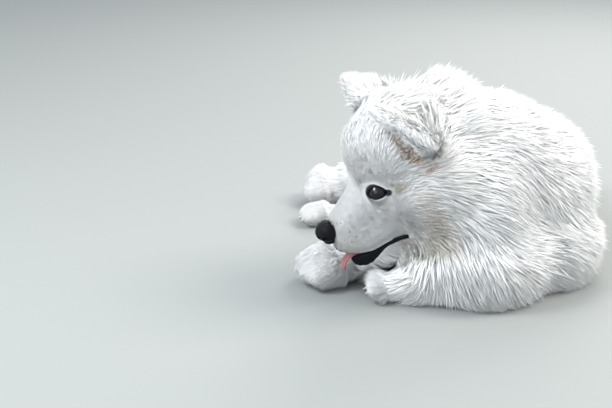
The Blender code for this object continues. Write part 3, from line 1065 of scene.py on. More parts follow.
def spot(look, folded, centre, radii, core=0.3):
    """1 inside the core of an ellipsoid of the folded head, fading to 0 at its surface."""
    off = look.node("ShaderNodeVectorMath", operation="SUBTRACT")
    look.link(folded, off.inputs[0])
    off.inputs[1].default_value = centre
    scaled = look.node("ShaderNodeVectorMath", operation="DIVIDE")
    look.link(off.outputs[0], scaled.inputs[0])
    scaled.inputs[1].default_value = radii
    length = look.node("ShaderNodeVectorMath", operation="LENGTH")
    look.link(scaled.outputs[0], length.inputs[0])
    return look.ranged(length.outputs["Value"], 1.0, core)


def wandering(look, folded):
    """Shifts the place to and fro, so that the outline of a stain or of the painted shadow isn't an
    ellipse.
    """
    noise = look.node("ShaderNodeTexNoise")
    look.fill(noise, Vector=look.place(), Scale=STAIN_AND_SHADOW_WANDER_SCALE, Detail=2.0)
    centred = look.node("ShaderNodeVectorMath", operation="SUBTRACT")
    look.link(noise.outputs["Color"], centred.inputs[0])
    centred.inputs[1].default_value = (0.5, 0.5, 0.5)
    moved = look.node("ShaderNodeVectorMath", operation="MULTIPLY_ADD")
    look.link(centred.outputs[0], moved.inputs[0])
    moved.inputs[1].default_value = (STAIN_AND_SHADOW_WANDER,) * 3
    look.link(folded, moved.inputs[2])
    return moved.outputs[0]


def marked(look, colour):
    """Lays the stains of ears, eyes, cheeks and lips, and the painted shadow under the jaw, over the
    white of the coat.
    """
    folded = folded_head(look)
    patches = look.ranged(look.noise(STAIN_AND_SHADOW_GRAIN, 4.0), 0.26, 0.56)
    moved = wandering(look, folded)
    # Stains, and the painted olive shadow under the jaw.
    for centre, radii, stain_or_shadow, strength in STAINS_AND_SHADOW:
        mask = spot(look, moved, centre, radii)
        share = look.maths("MULTIPLY", look.maths("MULTIPLY", mask, patches), strength)
        colour = look.mixed(share, colour, stain_or_shadow)
    dots = [(centre, (DOT_RADIUS,) * 3, 0.3) for centre in WHISKER_DOTS]
    for centre, radii, core in dots + DARK_HAIR:
        mask = spot(look, folded, centre, radii, core)
        colour = look.mixed(mask, colour, BLACK_GREY)
    return colour


def skin_look():
    """Pale skin under white down, with the same markings and painted jaw shadow as the coat."""
    # The skin takes the coat's root colour, painted shade included.
    look = Look("white_skin", COAT_ROOT_SHADED, 0.75)
    down = look.mixed(look.noise(900.0), COAT_SHADE, COAT_ROOT_SHADED)
    look.link(marked(look, down), look.shader.inputs["Base Color"])
    look.bump(look.noise(1400.0, 4.0), 0.6, 0.0006)
    return look.material


def coat_look():
    """White hair: creamier at the root and darker there with painted shade, brighter at the tip, each
    tuft a little its own.
    """
    look = Look("white_coat", COAT_TIP, 0.70)
    look.set("Sheen Weight", 0.20)
    look.set("Subsurface Weight", 0.30)
    look.set("Subsurface Radius", (1.0, 1.0, 1.0))
    look.set("Subsurface Scale", 0.0015)
    look.set("Sheen Roughness", 0.4)
    look.set("Specular IOR Level", 0.25)
    # Painted shade: the hair darkens from the tip towards its root.
    along = look.ranged(look.attribute("along"), 0.0, 0.55)
    colour = look.mixed(along, COAT_ROOT_SHADED, COAT_TIP)
    own_tone = look.ranged(look.attribute("tuft"), 0.30, 1.0, 0.0, 0.80)
    colour = look.mixed(own_tone, colour, COAT_CREAM)
    shaded = look.ranged(look.attribute("tuft"), 0.0, 0.30, 0.45, 0.0)
    colour = look.mixed(shaded, colour, COAT_SHADE)
    look.link(marked(look, colour), look.shader.inputs["Base Color"])
    look.bump(look.noise(2500.0, 2.0), 0.15, 0.0002)
    return look.material


def black_skin_look(name, grain, strength):
    """Bare black leather with a pebbled surface that shines a little when wet."""
    look = Look(name, BLACK, 0.42)
    look.set("Specular IOR Level", 0.06)
    tone = look.mixed(look.noise(420.0), BLACK, BLACK_GREY)
    look.link(tone, look.shader.inputs["Base Color"])
    look.link(look.ranged(look.noise(700.0), 0.3, 0.7, 0.28, 0.5), look.shader.inputs["Roughness"])
    look.bump(look.cells(grain), strength, 0.0004)
    return look.material


def mouth_look():
    look = Look("mouth_inside", (0.020, 0.008, 0.008), 0.45)
    tone = look.mixed(look.noise(300.0), (0.012, 0.006, 0.006), (0.050, 0.016, 0.016))
    look.link(tone, look.shader.inputs["Base Color"])
    look.bump(look.noise(900.0), 0.4, 0.0004)
    return look.material


def tongue_look():
    look = Look("tongue_pink", TONGUE_PINK, 0.42)
    look.set("Subsurface Weight", 0.15)
    look.set("Subsurface Radius", (0.004, 0.0015, 0.001))
    look.set("Subsurface Scale", 1.0)
    tone = look.mixed(look.noise(350.0), TONGUE_PINK, TONGUE_DEEP)
    look.link(tone, look.shader.inputs["Base Color"])
    look.bump(look.cells(1500.0), 0.35, 0.0003)
    return look.material


def eye_look():
    """A black pupil in a dark brown iris, under a wet cornea."""
    look = Look("eye_brown", IRIS_BROWN, 0.25)
    look.set("Specular IOR Level", 0.15)
    look.set("Coat Weight", 0.50)
    look.set("Coat Roughness", 0.03)
    reach = look.attribute("from_pupil")
    streaks = look.mixed(look.noise(1300.0), IRIS_BROWN, IRIS_LIGHT)
    iris = look.mixed(look.ranged(reach, PUPIL_REACH - 0.03, PUPIL_REACH + 0.03), EYE_BLACK, streaks)
    rim = look.ranged(reach, IRIS_REACH - 0.06, IRIS_REACH + 0.02)
    look.link(look.mixed(rim, iris, EYE_BLACK), look.shader.inputs["Base Color"])
    return look.material


def horn_look():
    look = Look("claw_horn", CLAW_HORN, 0.35)
    tone = look.mixed(look.noise(500.0), CLAW_HORN, COAT_CREAM)
    look.link(tone, look.shader.inputs["Base Color"])
    look.bump(look.noise(900.0), 0.2, 0.0003)
    return look.material


# The coat

# Where the hair flows from on the face, and the lines it follows on the trunk and the limbs.
FLOW_NOSE = (0.078, 0.0, -0.028)
CHEEK_FALL = 0.55
EYE_PARTING = 1.6
RUFF_CENTRE = (-0.069, -0.1575, 0.150)
RUFF_NEAR, RUFF_FAR = 0.100, 0.200
GRAVITY = 0.40
SPINE = [
    (-0.049, -0.160, 0.158),
    (0.032, -0.098, 0.135),
    (0.062, -0.030, 0.100),
    (0.066, 0.060, 0.090),
    (0.085, 0.172, 0.062),
]
LIMB_LINES = {
    "foreleg_left": [(0.045, -0.130, 0.050), (0.012, -0.184, 0.032), (-0.056, -0.184, 0.018)],
    "foreleg_right": [(0.000, -0.070, 0.060), (-0.040, -0.100, 0.036), (-0.120, -0.131, 0.021)],
    "hindleg_left": [(0.050, 0.060, 0.055), (-0.030, 0.048, 0.038), (-0.122, 0.068, 0.013)],
    "hindleg_right": [(0.050, 0.125, 0.062), (-0.030, 0.110, 0.050), (-0.114, 0.152, 0.023)],
    "tail": [
        (0.085, 0.172, 0.062),
        (0.112, 0.200, 0.045),
        (0.143, 0.199, 0.034),
        (0.166, 0.172, 0.031),
        (0.175, 0.138, 0.026),
        (0.173, 0.100, 0.016),
    ],
}
PAW_HEADINGS = {
    "forepaw_left": radians(170),
    "forepaw_right": radians(202),
    "hindpaw_left": radians(180),
    "hindpaw_right": radians(178),
}
PAW_DROOP = 0.35
EAR_BASES = {"ear_left": (-0.0640, 0.0470, 0.0270), "ear_right": (-0.0575, -0.0470, 0.0265)}
FACE_FLOW_SPREAD, BODY_FLOW_SPREAD = 20, 220
EAR_FRINGE = 0.75
LIP_FLOW_NEAR, LIP_FLOW_FAR = 0.003, 0.012

# How long the hair is, as a multiple of the coat's depth, and how it is drawn together.
LENGTH_RATIO = {
    "head": 1.75,
    "jaw": 2.0,
    "neck": 1.6,
    "chest": 1.6,
    "rump": 1.6,
    "tail": 1.7,
    "ear_left": 2.8,
    "ear_right": 2.8,
    "foreleg_left": 1.5,
    "foreleg_right": 1.5,
    "forepaw_left": 1.7,
    "forepaw_right": 1.7,
    "hindleg_left": 1.5,
    "hindleg_right": 1.5,
    "hindpaw_left": 1.7,
    "hindpaw_right": 1.7,
}
MUZZLE_RATIO = 2.3
CHEEK_RATIO = 3.0
INNER_EAR_GROWTH = 0.3
STANDING, LIMB_STANDING = 0.85, 0.45
EVEN_ROUNDS = 220
LIFT_AT_ROOT, LIFT_AT_TIP = radians(12), radians(-14)
TIP_FALL = 0.10
LENGTH_SPAN = (0.72, 1.12)
CHIN_FRINGE = 0.0110
STRAY_SHARE, STRAY_LENGTH = 0.04, 1.12
ROOT_JITTER, TIP_JITTER = 0.11, 0.17
SWIRL = radians(16)
CLUMP_SPACING = 0.0060
CLUMP_TONE, CLUMP_TILT = 0.6, 0.16
EAR_GLOW = 0.9
CLUMP_PULL = 0.15
FACE_CLUMP = 0.06

# How many tufts grow, how wide they are, and how each is drawn from rings of three points.
SHORT_BELOW, LONG_ABOVE = 0.0080, 0.0145
SHORT_TUFTS, FINE_TUFTS, LONG_TUFTS = 150000, 150000, 60000
WIDTH_SHARE = 0.38
LEAST_HALF_WIDTH = 0.00022
SECTION = ((-1.0, 0.0), (1.0, 0.0), (0.0, 0.6))
STRAIGHT, BENT = ((0.0, 1.0),), ((0.0, 0.75), (0.5, 1.0))
ROOT_SINK = 0.0005
FLOOR_CLEARANCE = 0.0003
UNDERSIDE_SHARE = 0.35
SKIN_SHADING = 0.74
LEAST_AGREEMENT = 0.35
TRIANGLES_A_PIECE = 190000
PATCH = 0.003
UNWRAP_SHARE = 0.08


def segment_flow(places, chain):
    """The direction of the nearest stretch of a chain of points, in the body's frame."""
    points = np.array(chain) + BODY_PLACE
    nearest = np.full(len(places), np.inf)
    flow = np.zeros_like(places)
    for start, end in zip(points, points[1:]):
        along = end - start
        t = np.clip((places - start) @ along / (along @ along), 0.0, 1.0)
        gap = np.linalg.norm(places - start - t[:, None] * along, axis=1)
        nearer = gap < nearest
        nearest[nearer] = gap[nearer]
        flow[nearer] = along / np.linalg.norm(along)
    return flow


def eye_distance(places):
    """How far each place is from the middle of the nearer eyeball, and which way."""
    in_head = to_head(places)
    eye = np.array(EYE_PLACE) * np.where(in_head[:, 1:2] > 0, 1.0, (1.0, -1.0, 1.0))
    away = in_head - eye
    return np.linalg.norm(away, axis=1), away


def head_flow(places):
    """Back from the nose over the face, parting round the eyes, and down the cheeks."""
    in_head = to_head(places)
    x, y, z = in_head.T
    flow = unit(in_head - FLOW_NOSE)
    flow[:, 2] -= CHEEK_FALL * smooth_step(-x, 0.0, 0.050) * smooth_step(-z, -0.010, 0.040)
    distance, away = eye_distance(places)
    near = 1.0 - smooth_step(distance, 0.011, 0.021)
    flow += EYE_PARTING * near[:, None] * unit(away)
    by_lip = 1.0 - smooth_step(lip_distance(x, z), LIP_FLOW_NEAR, LIP_FLOW_FAR)
    flow += by_lip[:, None] * (np.array((-1.0, 0.0, 0.1)) - flow)
    return flow @ HEAD_TURN.T


def lip_distance(x, z):
    """How far a place is above or below the line of the mouth, or behind its corner."""
    knots = np.array(GAPE).T
    line = np.interp(x, knots[0], (knots[1] + knots[2]) / 2)
    return np.hypot(z - line, np.maximum(GAPE[0][0] - x, 0.0))


def ear_flow(name, places):
    """From an ear's base to its farthest point, and outwards past its edges."""
    base = from_head(EAR_BASES[name])
    solid = vertex_places(frame["nodes"][name].data)
    tip = solid[np.argmax(np.linalg.norm(solid - base, axis=1))]
    axis = unit(tip - base)
    off = places - base
    return axis + EAR_FRINGE * unit(off - (off @ axis)[:, None] * axis)


def trunk_flow(places):
    """Away from the face in the ruff, then along the spine, and down with its weight."""
    away = places - RUFF_CENTRE
    far = smooth_step(np.linalg.norm(away, axis=1), RUFF_NEAR, RUFF_FAR)[:, None]
    flow = unit(away) * (1.0 - far) + segment_flow(places, SPINE) * far
    return flow - (0.0, 0.0, GRAVITY)


def paw_flow(heading):
    return np.array((cos(heading), sin(heading), -PAW_DROOP))


def tangent(vectors, normals):
    flat = vectors - normals * np.sum(vectors * normals, axis=1, keepdims=True)
    return unit(flat)


def swirled(flow, normals, places):
    """Turns the flow a little to and fro over the skin."""
    waves = [((61, 23, 40), 0.4), ((-35, 70, 28), 1.9), ((88, -50, 66), 3.1)]
    turn = sum(np.sin(places @ np.array(wave) + phase) for wave, phase in waves)
    angle = (SWIRL * turn / len(waves) ** 0.5)[:, None]
    return flow * np.cos(angle) + np.cross(normals, flow) * np.sin(angle)


def coat_flow(places, normals, owner, solids, spreader):
    """The direction in which the hair lies at each vertex of the skin."""
    flow = np.zeros_like(places)
    for number, name in enumerate(solids.names):
        own = owner == number
        if name in ("head", "jaw"):
            flow[own] = head_flow(places[own])
        elif name in EAR_BASES:
            flow[own] = ear_flow(name, places[own])
        elif name in LIMB_LINES:
            flow[own] = segment_flow(places[own], LIMB_LINES[name])
        elif name in PAW_HEADINGS:
            flow[own] = paw_flow(PAW_HEADINGS[name])
        else:
            flow[own] = trunk_flow(places[own])
    near = spreader.spread(unit(flow), FACE_FLOW_SPREAD)
    wide = spreader.spread(near, BODY_FLOW_SPREAD)
    face = solids.owned(owner, "head", "jaw", *EAR_BASES).astype(float)
    face = spreader.spread(face, 20)[:, None]
    return swirled(tangent(wide + face * (near - wide), normals), normals, places)


class Pelt:
    """What the coat needs to know at each vertex of the finished skin."""

    def __init__(self, skin, origin, solids):
        mesh = skin.data
        self.skin = skin
        self.places = vertex_places(mesh)
        self.normals = vertex_normals(mesh)
        spreader = Spreader(mesh)
        nearest = nearest_rows(origin.places, self.places)
        self.owner = origin.owner[nearest]
        self.depth = spreader.spread(origin.depth[nearest], 3)
        self.flow = coat_flow(self.places, self.normals, self.owner, solids, spreader)
        ratio = np.array([LENGTH_RATIO[name] for name in solids.names])[self.owner]
        x = to_head(self.places)[:, 0]
        face = solids.owned(self.owner, "head") * smooth_step(x, -0.030, 0.010)
        ratio += face * (MUZZLE_RATIO - ratio)
        cheek = solids.owned(self.owner, "head", "jaw") * smooth_step(-x, -0.005, 0.035)
        ratio += cheek * (CHEEK_RATIO - ratio)
        self.ratio = spreader.spread(ratio, 20)
        body = 1.0 - spreader.spread(solids.owned(self.owner, "head", "jaw").astype(float), 20)
        for values in (self.depth, self.ratio):
            values += body * (spreader.spread(values, EVEN_ROUNDS) - values)
        distance, _ = eye_distance(self.places)
        self.length = self.depth * self.ratio * (0.40 + 0.60 * smooth_step(distance, 0.012, 0.026))
        self.length += CHIN_FRINGE * spreader.spread(under_chin_share(self.places), 10)
        limbs = solids.owned(self.owner, *LIMB_LINES, *PAW_HEADINGS)
        standing = np.where(limbs, LIMB_STANDING, STANDING)
        self.standing = spreader.spread(standing, 60)
        ears = solids.owned(self.owner, *EAR_BASES).astype(float)
        self.glow = EAR_GLOW * spreader.spread(ears, 10)
        forward = np.maximum((self.normals @ HEAD_TURN)[:, 0], 0.0)
        self.length *= 1.0 + INNER_EAR_GROWTH * forward * ears
        self.bare = self.bare_places(solids)

    def bare_places(self, solids):
        """1 where no hair grows: in the eyes' openings, under the nose leather, and on the
        lips and the tongue."""
        in_head = to_head(self.places)
        bare = np.zeros(len(self.places), bool)
        for centre, sizes in NOSE_MASSES:
            bare |= np.linalg.norm((in_head - centre) / sizes, axis=1) < 1.02
        for side in (1, -1):
            bare |= Eye(side).opens_at(self.places)
        lips = solids.owned(self.owner, "head", "jaw") & on_lips(*in_head.T)
        return (bare | lips).astype(float)


def under_chin_share(places):
    """1 under the rear of the jaw, where longer hair hangs down to the forelegs."""
    x, y, z = to_head(places).T
    lengthwise = smooth_step(x, -0.050, -0.015) * (1.0 - smooth_step(x, 0.034, 0.046))
    return lengthwise * smooth_step(-z, 0.064, 0.074) * (np.abs(y) < 0.045)


def on_lips(x, y, z):
    """True where the bare rolls of the lips lie."""
    gape, upper, lower = (np.array(rows).T for rows in (GAPE, UPPER_LIP, LOWER_LIP))
    top = np.interp(x, gape[0], gape[1]) + 1.6 * np.interp(x, upper[0], upper[1])
    bottom = np.interp(x, gape[0], gape[2]) - 1.9 * np.interp(x, lower[0], lower[1])
    return (x > GAPE[0][0] - 0.001) & (z < top) & (z > bottom) & (np.abs(y) < 0.045)


def nearest_rows(points, places):
    """For each place, the row of the nearest of the points."""
    tree = KDTree(len(points))
    for row, point in enumerate(points):
        tree.insert(point, row)
    tree.balance()
    return np.array([tree.find(place)[1] for place in places])


def skin_triangles(mesh):
    """The skin's triangles that hair may grow from, without the mouth's walls."""
    mesh.calc_loop_triangles()
    count = len(mesh.loop_triangles)
    corners = np.empty(count * 3, np.int32)
    mesh.loop_triangles.foreach_get("vertices", corners)
    faces = np.empty(count, np.int32)
    mesh.loop_triangles.foreach_get("polygon_index", faces)
    looks = np.empty(len(mesh.polygons), np.int32)
    mesh.polygons.foreach_get("material_index", looks)
    return corners.reshape(-1, 3)[looks[faces] == 0]


class Roots:
    """Places on the skin from which tufts grow, with all that is known there."""

    def __init__(self, pelt, corners, rng, count, chosen):
        a, b, c = (pelt.places[corners[:, i]] for i in range(3))
        cross = np.cross(b - a, c - a)
        area = 0.5 * np.linalg.norm(cross, axis=1)
        middle = (a + b + c) / 3
        length = pelt.length[corners].mean(axis=1)
        weight = area / np.maximum(length, 0.0015) * chosen(length)
        weight *= pelt.bare[corners].max(axis=1) < 0.5
        weight *= self.seen_share(cross, middle)
        total = np.cumsum(weight)
        steps = (np.arange(count) + rng.random()) / count * total[-1]
        row = np.minimum(np.searchsorted(total, steps), len(corners) - 1)
        corner = corners[row]
        share = rng.random((count, 2))
        folded = share.sum(axis=1) > 1.0
        share[folded] = 1.0 - share[folded]
        shares = np.column_stack([1.0 - share.sum(axis=1), share])
        self.place = self.mixed(pelt.places, corner, shares)
        self.normal = unit(self.mixed(pelt.normals, corner, shares))
        self.flow = tangent(self.mixed(pelt.flow, corner, shares), self.normal)
        self.length = self.mixed(pelt.length, corner, shares)
        self.ratio = self.mixed(pelt.ratio, corner, shares)
        self.standing = self.mixed(pelt.standing, corner, shares)
        self.glow = self.mixed(pelt.glow, corner, shares)
        self.owner = pelt.owner[corner[:, 0]]
        self.spacing = np.sqrt(total[-1] / count * np.maximum(self.length, 0.0015))

    @staticmethod
    def mixed(values, corner, shares):
        if values.ndim == 1:
            return np.sum(values[corner] * shares, axis=1)
        return np.einsum("ijk,ij->ik", values[corner], shares)

    @staticmethod
    def seen_share(cross, middle):
        """Fewer tufts grow on the underside, and none where the body rests."""
        down = unit(cross)[:, 2] < -0.6
        share = np.where(down & (middle[:, 2] < 0.030), UNDERSIDE_SHARE, 1.0)
        return np.where(down & (middle[:, 2] < 0.004), 0.0, share)


class Tufts:
    """The middle lines of tufts, bent from standing at the root to lying at the tip."""

    def __init__(self, roots, solids, rng, rings):
        count = len(roots.place)
        lift = np.arcsin(np.clip(roots.standing / roots.ratio, 0.0, 0.95))
        self.start = self.leaning(roots, lift + LIFT_AT_ROOT, rng, ROOT_JITTER)
        self.end = self.leaning(roots, lift + LIFT_AT_TIP, rng, TIP_JITTER)
        self.end[:, 2] -= TIP_FALL
        self.length = roots.length * rng.uniform(*LENGTH_SPAN, count)
        self.length *= np.where(rng.random(count) < STRAY_SHARE, STRAY_LENGTH, 1.0)
        self.rings = rings
        steps = np.array([t for t, _ in rings] + [1.0])[None, :, None]
        bend = 0.5 * steps ** 2 * (self.end - self.start)[:, None]
        line = steps * self.start[:, None] + bend
        root = roots.place - roots.normal * ROOT_SINK
        line = root[:, None] + line * self.length[:, None, None]
        self.guide = self.guides(roots, rng)
        self.line = self.drawn_together(line, roots, solids, steps)
        own = rng.random(count)
        self.tone = own + CLUMP_TONE * (own[self.guide] - own)

    @staticmethod
    def leaning(roots, angle, rng, jitter):
        lean = np.cos(angle)[:, None] * roots.flow + np.sin(angle)[:, None] * roots.normal
        return unit(lean + jitter * rng.standard_normal(lean.shape))

    @staticmethod
    def guides(roots, rng):
        """For each tuft the nearest of some that stand wider apart and lead a clump."""
        share = np.clip((roots.spacing / CLUMP_SPACING) ** 2, 0.01, 1.0)
        some = np.flatnonzero(rng.random(len(share)) < share)
        return some[nearest_rows(roots.place[some], roots.place)]

    def drawn_together(self, line, roots, solids, steps):
        """Draws the tips of each clump towards the tip of its guide."""
        nearest = self.guide
        gap = np.linalg.norm(roots.place[nearest] - roots.place, axis=1)
        pull = np.where(solids.owned(roots.owner, "head", "jaw"), FACE_CLUMP, CLUMP_PULL)
        pull = pull * (1.0 - smooth_step(gap, CLUMP_SPACING, 2.5 * CLUMP_SPACING))
        towards = line[nearest] - line
        return line + pull[:, None, None] * steps ** 1.5 * towards


def tuft_corners(tufts, roots, rng):
    """All vertices of the tufts, ring by ring and then the tip, and how they face."""
    count = len(roots.place)
    half = np.maximum(WIDTH_SHARE * roots.spacing, LEAST_HALF_WIDTH) * rng.uniform(0.8, 1.2, count)
    roll = rng.normal(0.0, 0.45, count)[:, None]
    tilt = CLUMP_TILT * rng.standard_normal((count, 3))[tufts.guide]
    tilt[:, 2] += roots.glow
    skin_normal = unit(roots.normal + tilt)
    places, normals, along = [], [], []
    for ring, (t, width) in enumerate(tufts.rings):
        forward = unit(tufts.line[:, ring + 1] - tufts.line[:, max(ring - 1, 0)])
        side = unit(np.cross(forward, roots.normal))
        out = np.cross(side, forward)
        side, out = side * np.cos(roll) + out * np.sin(roll), out * np.cos(roll) - side * np.sin(roll)
        for across, up in SECTION:
            corner = (side * across + out * up) * (half * width)[:, None]
            places.append(tufts.line[:, ring] + corner)
            own = unit(side * across * 0.8 + out * (0.4 + up))
            normals.append(unit(SKIN_SHADING * skin_normal + (1.0 - SKIN_SHADING) * own * 1.6))
            along.append(np.full(count, t))
    places.append(tufts.line[:, -1])
    normals.append(skin_normal)
    along.append(np.ones(count))
    places, normals = np.stack(places, axis=1), np.stack(normals, axis=1)
    places[:, :, 2] = np.maximum(places[:, :, 2], FLOOR_CLEARANCE)
    return places, normals, np.stack(along, axis=1)


def tuft_faces(rings):
    """The triangles of one tuft, and where their corners lie on its patch of the unwrap."""
    steps = [t for t, _ in rings] + [1.0]
    faces, patch = [], []
    for ring in range(len(rings) - 1):
        low, high = steps[ring], steps[ring + 1]
        for j in range(3):
            k = (j + 1) % 3
            a, b, c, d = 3 * ring + j, 3 * ring + k, 3 * ring + 3 + k, 3 * ring + 3 + j
            left, right = j / 3, (j + 1) / 3
            faces += [(a, c, b), (a, d, c)]
            patch += [((left, low), (right, high), (right, low))]
            patch += [((left, low), (left, high), (right, high))]
    last, tip = 3 * (len(rings) - 1), 3 * len(rings)
    for j in range(3):
        left, right = j / 3, (j + 1) / 3
        faces.append((last + j, tip, last + (j + 1) % 3))
        patch.append(((left, steps[-2]), ((left + right) / 2, 1.0), (right, steps[-2])))
    return np.array(faces), np.array(patch)


def mesh_from_arrays(name, places, faces):
    mesh = bpy.data.meshes.new(name)
    mesh.vertices.add(len(places))
    mesh.vertices.foreach_set("co", places.astype(np.float32).ravel())
    mesh.loops.add(faces.size)
    mesh.loops.foreach_set("vertex_index", faces.astype(np.int32).ravel())
    mesh.polygons.add(len(faces))
    mesh.polygons.foreach_set("loop_start", np.arange(0, faces.size, 3, dtype=np.int32))
    mesh.update(calc_edges=True)
    return mesh


def vertex_value(mesh, name, values):
    attribute = mesh.attributes.new(name, "FLOAT", "POINT")
    attribute.data.foreach_set("value", values.astype(np.float32).ravel())


def corner_normals(places, normals, faces):
    """Each corner's soft normal, turned so far that its face is never lit from behind."""
    a, b, c = (places[faces[:, i]] for i in range(3))
    facing = unit(np.cross(b - a, c - a))[:, None]
    soft = normals[faces]
    agree = np.sum(soft * facing, axis=2, keepdims=True)
    return unit(soft + np.maximum(LEAST_AGREEMENT - agree, 0.0) * facing)


def coat_piece(name, corners, tones, patches, rings, look):
    """One mesh of some tufts."""
    places, normals, along = corners
    count, size = places.shape[:2]
    one, patch = tuft_faces(rings)
    faces = (np.arange(count)[:, None, None] * size + one).reshape(-1, 3)
    mesh = mesh_from_arrays(name, places.reshape(-1, 3), faces)
    vertex_value(mesh, "along", along)
    vertex_value(mesh, "tuft", np.repeat(tones, size))
    uvs = patches[:, None, None] + (patch - 0.5) * PATCH
    mesh.uv_layers.new(name="OFBake").data.foreach_set("uv", uvs.astype(np.float32).ravel())
    mesh.materials.append(look)
    mesh.shade_smooth()
    shading = corner_normals(places.reshape(-1, 3), normals.reshape(-1, 3), faces)
    attribute = mesh.attributes.new("custom_normal", "FLOAT_VECTOR", "CORNER")
    attribute.data.foreach_set("vector", shading.astype(np.float32).ravel())
    return new_object(name, mesh)


class Unwrap:
    """A coarse copy of the skin laid out flat, to give each root its place on it."""

    def __init__(self, skin):
        copy = new_object("unwrap", skin.data.copy())
        fewer = copy.modifiers.new("fewer", "DECIMATE")
        fewer.ratio = UNWRAP_SHARE
        applied(copy)
        bpy.context.view_layer.objects.active = copy
        copy.select_set(True)
        bpy.ops.object.mode_set(mode="EDIT")
        bpy.ops.mesh.select_all(action="SELECT")
        bpy.ops.uv.smart_project(angle_limit=radians(66), island_margin=0.004)
        bpy.ops.object.mode_set(mode="OBJECT")
        mesh = copy.data
        mesh.calc_loop_triangles()
        self.corners, self.loops = self.read(mesh)
        self.places = vertex_places(mesh)
        uvs = np.empty(len(mesh.loops) * 2, np.float32)
        mesh.uv_layers.active.data.foreach_get("uv", uvs)
        self.uvs = uvs.reshape(-1, 2)
        self.tree = BVHTree.FromPolygons(self.places.tolist(), self.corners.tolist())
        drop(copy)

    @staticmethod
    def read(mesh):
        count = len(mesh.loop_triangles)
        corners, loops = np.empty(count * 3, np.int32), np.empty(count * 3, np.int32)
        mesh.loop_triangles.foreach_get("vertices", corners)
        mesh.loop_triangles.foreach_get("loops", loops)
        return corners.reshape(-1, 3), loops.reshape(-1, 3)

    def at(self, places):
        found = [self.tree.find_nearest(place) for place in places]
        row = np.array([f[2] for f in found])
        point = np.array([f[0] for f in found])
        a, b, c = (self.places[self.corners[row, i]] for i in range(3))
        whole = np.cross(b - a, c - a)
        size = np.maximum(np.sum(whole ** 2, axis=1), 1e-20)
        share_b = np.sum(np.cross(point - a, c - a) * whole, axis=1) / size
        share_c = np.sum(np.cross(b - a, point - a) * whole, axis=1) / size
        shares = np.column_stack([1.0 - share_b - share_c, share_b, share_c])
        return np.einsum("ijk,ij->ik", self.uvs[self.loops[row]], shares)


def grow(pelt, corners, solids, unwrap, rng, look, kind):
    """All coat pieces of one kind of tuft."""
    kind_name, count, rings, chosen = kind
    roots = Roots(pelt, corners, rng, count, chosen)
    tufts = Tufts(roots, solids, rng, rings)
    parts = tuft_corners(tufts, roots, rng)
    patches = unwrap.at(roots.place)
    most = TRIANGLES_A_PIECE // len(tuft_faces(rings)[0])
    pieces = []
    for number, start in enumerate(range(0, count, most), 1):
        some = slice(start, start + most)
        piece = coat_piece(f"coat_{kind_name}_{number}", [p[some] for p in parts],
                           tufts.tone[some], patches[some], rings, look)
        pieces.append(piece)
    return pieces


def long_share(length):
    """0 where all hair is short, 1 where all of it is long."""
    return smooth_step(length, SHORT_BELOW, LONG_ABOVE)


def make_coat(skin, origin, solids, look):
    pelt = Pelt(skin, origin, solids)
    corners = skin_triangles(skin.data)
    unwrap = Unwrap(skin)
    rng = np.random.default_rng(RNG_SEED)
    kinds = [
        ("short", SHORT_TUFTS, STRAIGHT, lambda length: 1.0 - long_share(length)),
        ("fine", FINE_TUFTS, STRAIGHT, long_share),
        ("long", LONG_TUFTS, BENT, long_share),
    ]
    pieces = []
    for kind in kinds:
        pieces += grow(pelt, corners, solids, unwrap, rng, look, kind)
    return pieces


# The stage

CAMERA_PLACE = (-0.165, -1.5275, 0.512)
CAMERA_PITCH = radians(-17)
LENS_MM = 85.0
SENSOR_MM = 36.0

FLOOR_SIZE = 20.0
FLOOR_COLOUR = (0.26, 0.27, 0.26)


def floor_material():
    material = bpy.data.materials.new("floor_grey")
    material.use_nodes = True
    shader = material.node_tree.nodes["Principled BSDF"]
    shader.inputs["Base Color"].default_value = (*FLOOR_COLOUR, 1.0)
    shader.inputs["Roughness"].default_value = 0.8
    return material


def make_floor():
    bm = bmesh.new()
    bmesh.ops.create_grid(bm, x_segments=1, y_segments=1, size=FLOOR_SIZE)
    floor = object_from(bm, "floor")
    floor.data.materials.append(floor_material())


def make_camera():
    data = bpy.data.cameras.new("camera")
    data.lens = LENS_MM
    data.sensor_width = SENSOR_MM
    camera = new_object("camera", data)
    camera.location = CAMERA_PLACE
    camera.rotation_euler = (pi / 2 + CAMERA_PITCH, 0, 0)
    bpy.context.scene.camera = camera


def area_light(name, place, aim, size, power, colour):
    data = bpy.data.lights.new(name, "AREA")
    data.shape = "DISK"
    data.size = size
    data.energy = power
    data.color = colour
    light = new_object(name, data)
    light.location = place
    light.rotation_euler = (Vector(aim) - Vector(place)).to_track_quat("-Z", "Y").to_euler()


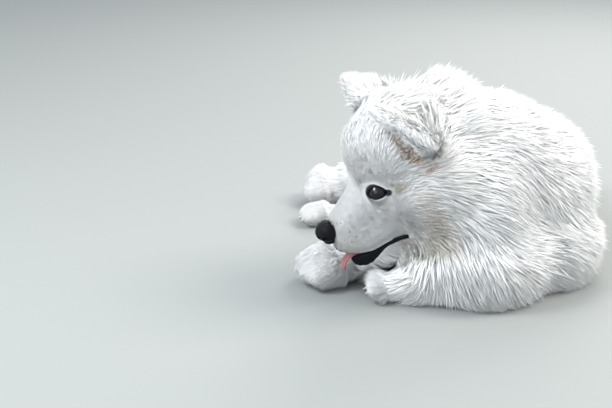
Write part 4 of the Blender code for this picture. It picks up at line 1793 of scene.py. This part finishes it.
def light_stage():
    world = bpy.data.worlds.new("soft_sky")
    world.use_nodes = True
    background = world.node_tree.nodes["Background"]
    background.inputs["Color"].default_value = (0.86, 0.93, 1.0, 1.0)
    background.inputs["Strength"].default_value = 1.0
    bpy.context.scene.world = world
    middle = (0.0, 0.0, 0.08)
    area_light("key", (1.1, -0.15, 1.5), middle, 1.0, 32.0, (1.0, 0.97, 0.92))
    area_light("fill", (-1.0, -1.6, 0.9), middle, 1.6, 14.0, (0.90, 0.95, 1.0))
    area_light("rim", (0.5, 1.4, 1.1), middle, 1.0, 20.0, (1.0, 0.98, 0.95))
    area_light("eye_light", (-1.04, -0.47, 1.23), HEAD_PLACE, 0.60, 20.0, (0.92, 0.96, 1.0))
    bpy.context.scene.view_settings.view_transform = "Standard"


# The whole

def carried(piece, slot, *nodes):
    """Fixes a piece to the body and hides the solids it stands for; slot is not used."""
    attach(piece, "root")
    if nodes:
        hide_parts(*nodes)


def dressed(piece, material):
    piece.data.materials.clear()
    piece.data.materials.append(material)
    return piece


def make_eyes(rim_look, ball_look):
    for side, name in ((1, "left"), (-1, "right")):
        eye = Eye(side)
        ball = dressed(eyeball(eye, "eyeball_" + name), ball_look)
        carried(ball, "eye", "eye_" + name)
        carried(dressed(lid_rim(eye, "lid_rim_" + name), rim_look), "black_skin")


def make_muzzle(tree, leather, lip_black):
    carried(dressed(nose_leather(), leather), "black_skin", "nose")
    carried(dressed(lip("lip_upper", tree, 1, UPPER_LIP), lip_black), "black_skin")
    carried(dressed(lip("lip_lower", tree, 2, LOWER_LIP), lip_black), "black_skin")
    carried(dressed(tongue(), tongue_look()), "tongue", "tongue")


def main():
    solids = Solids(FLESH)
    skin, origin = make_skin(solids, skin_look(), mouth_look())
    carried(skin, "coat", *FLESH)
    for piece in make_coat(skin, origin, solids, coat_look()):
        carried(piece, "coat")
    graph = bpy.context.evaluated_depsgraph_get()
    tree = BVHTree.FromObject(skin, graph)
    lip_black = black_skin_look("lip_black", 900.0, 0.35)
    make_eyes(lip_black, eye_look())
    make_muzzle(tree, black_skin_look("nose_leather", 1500.0, 0.5), lip_black)
    carried(dressed(claws(), horn_look()), "black_skin")
    make_floor()
    make_camera()
    light_stage()


main()
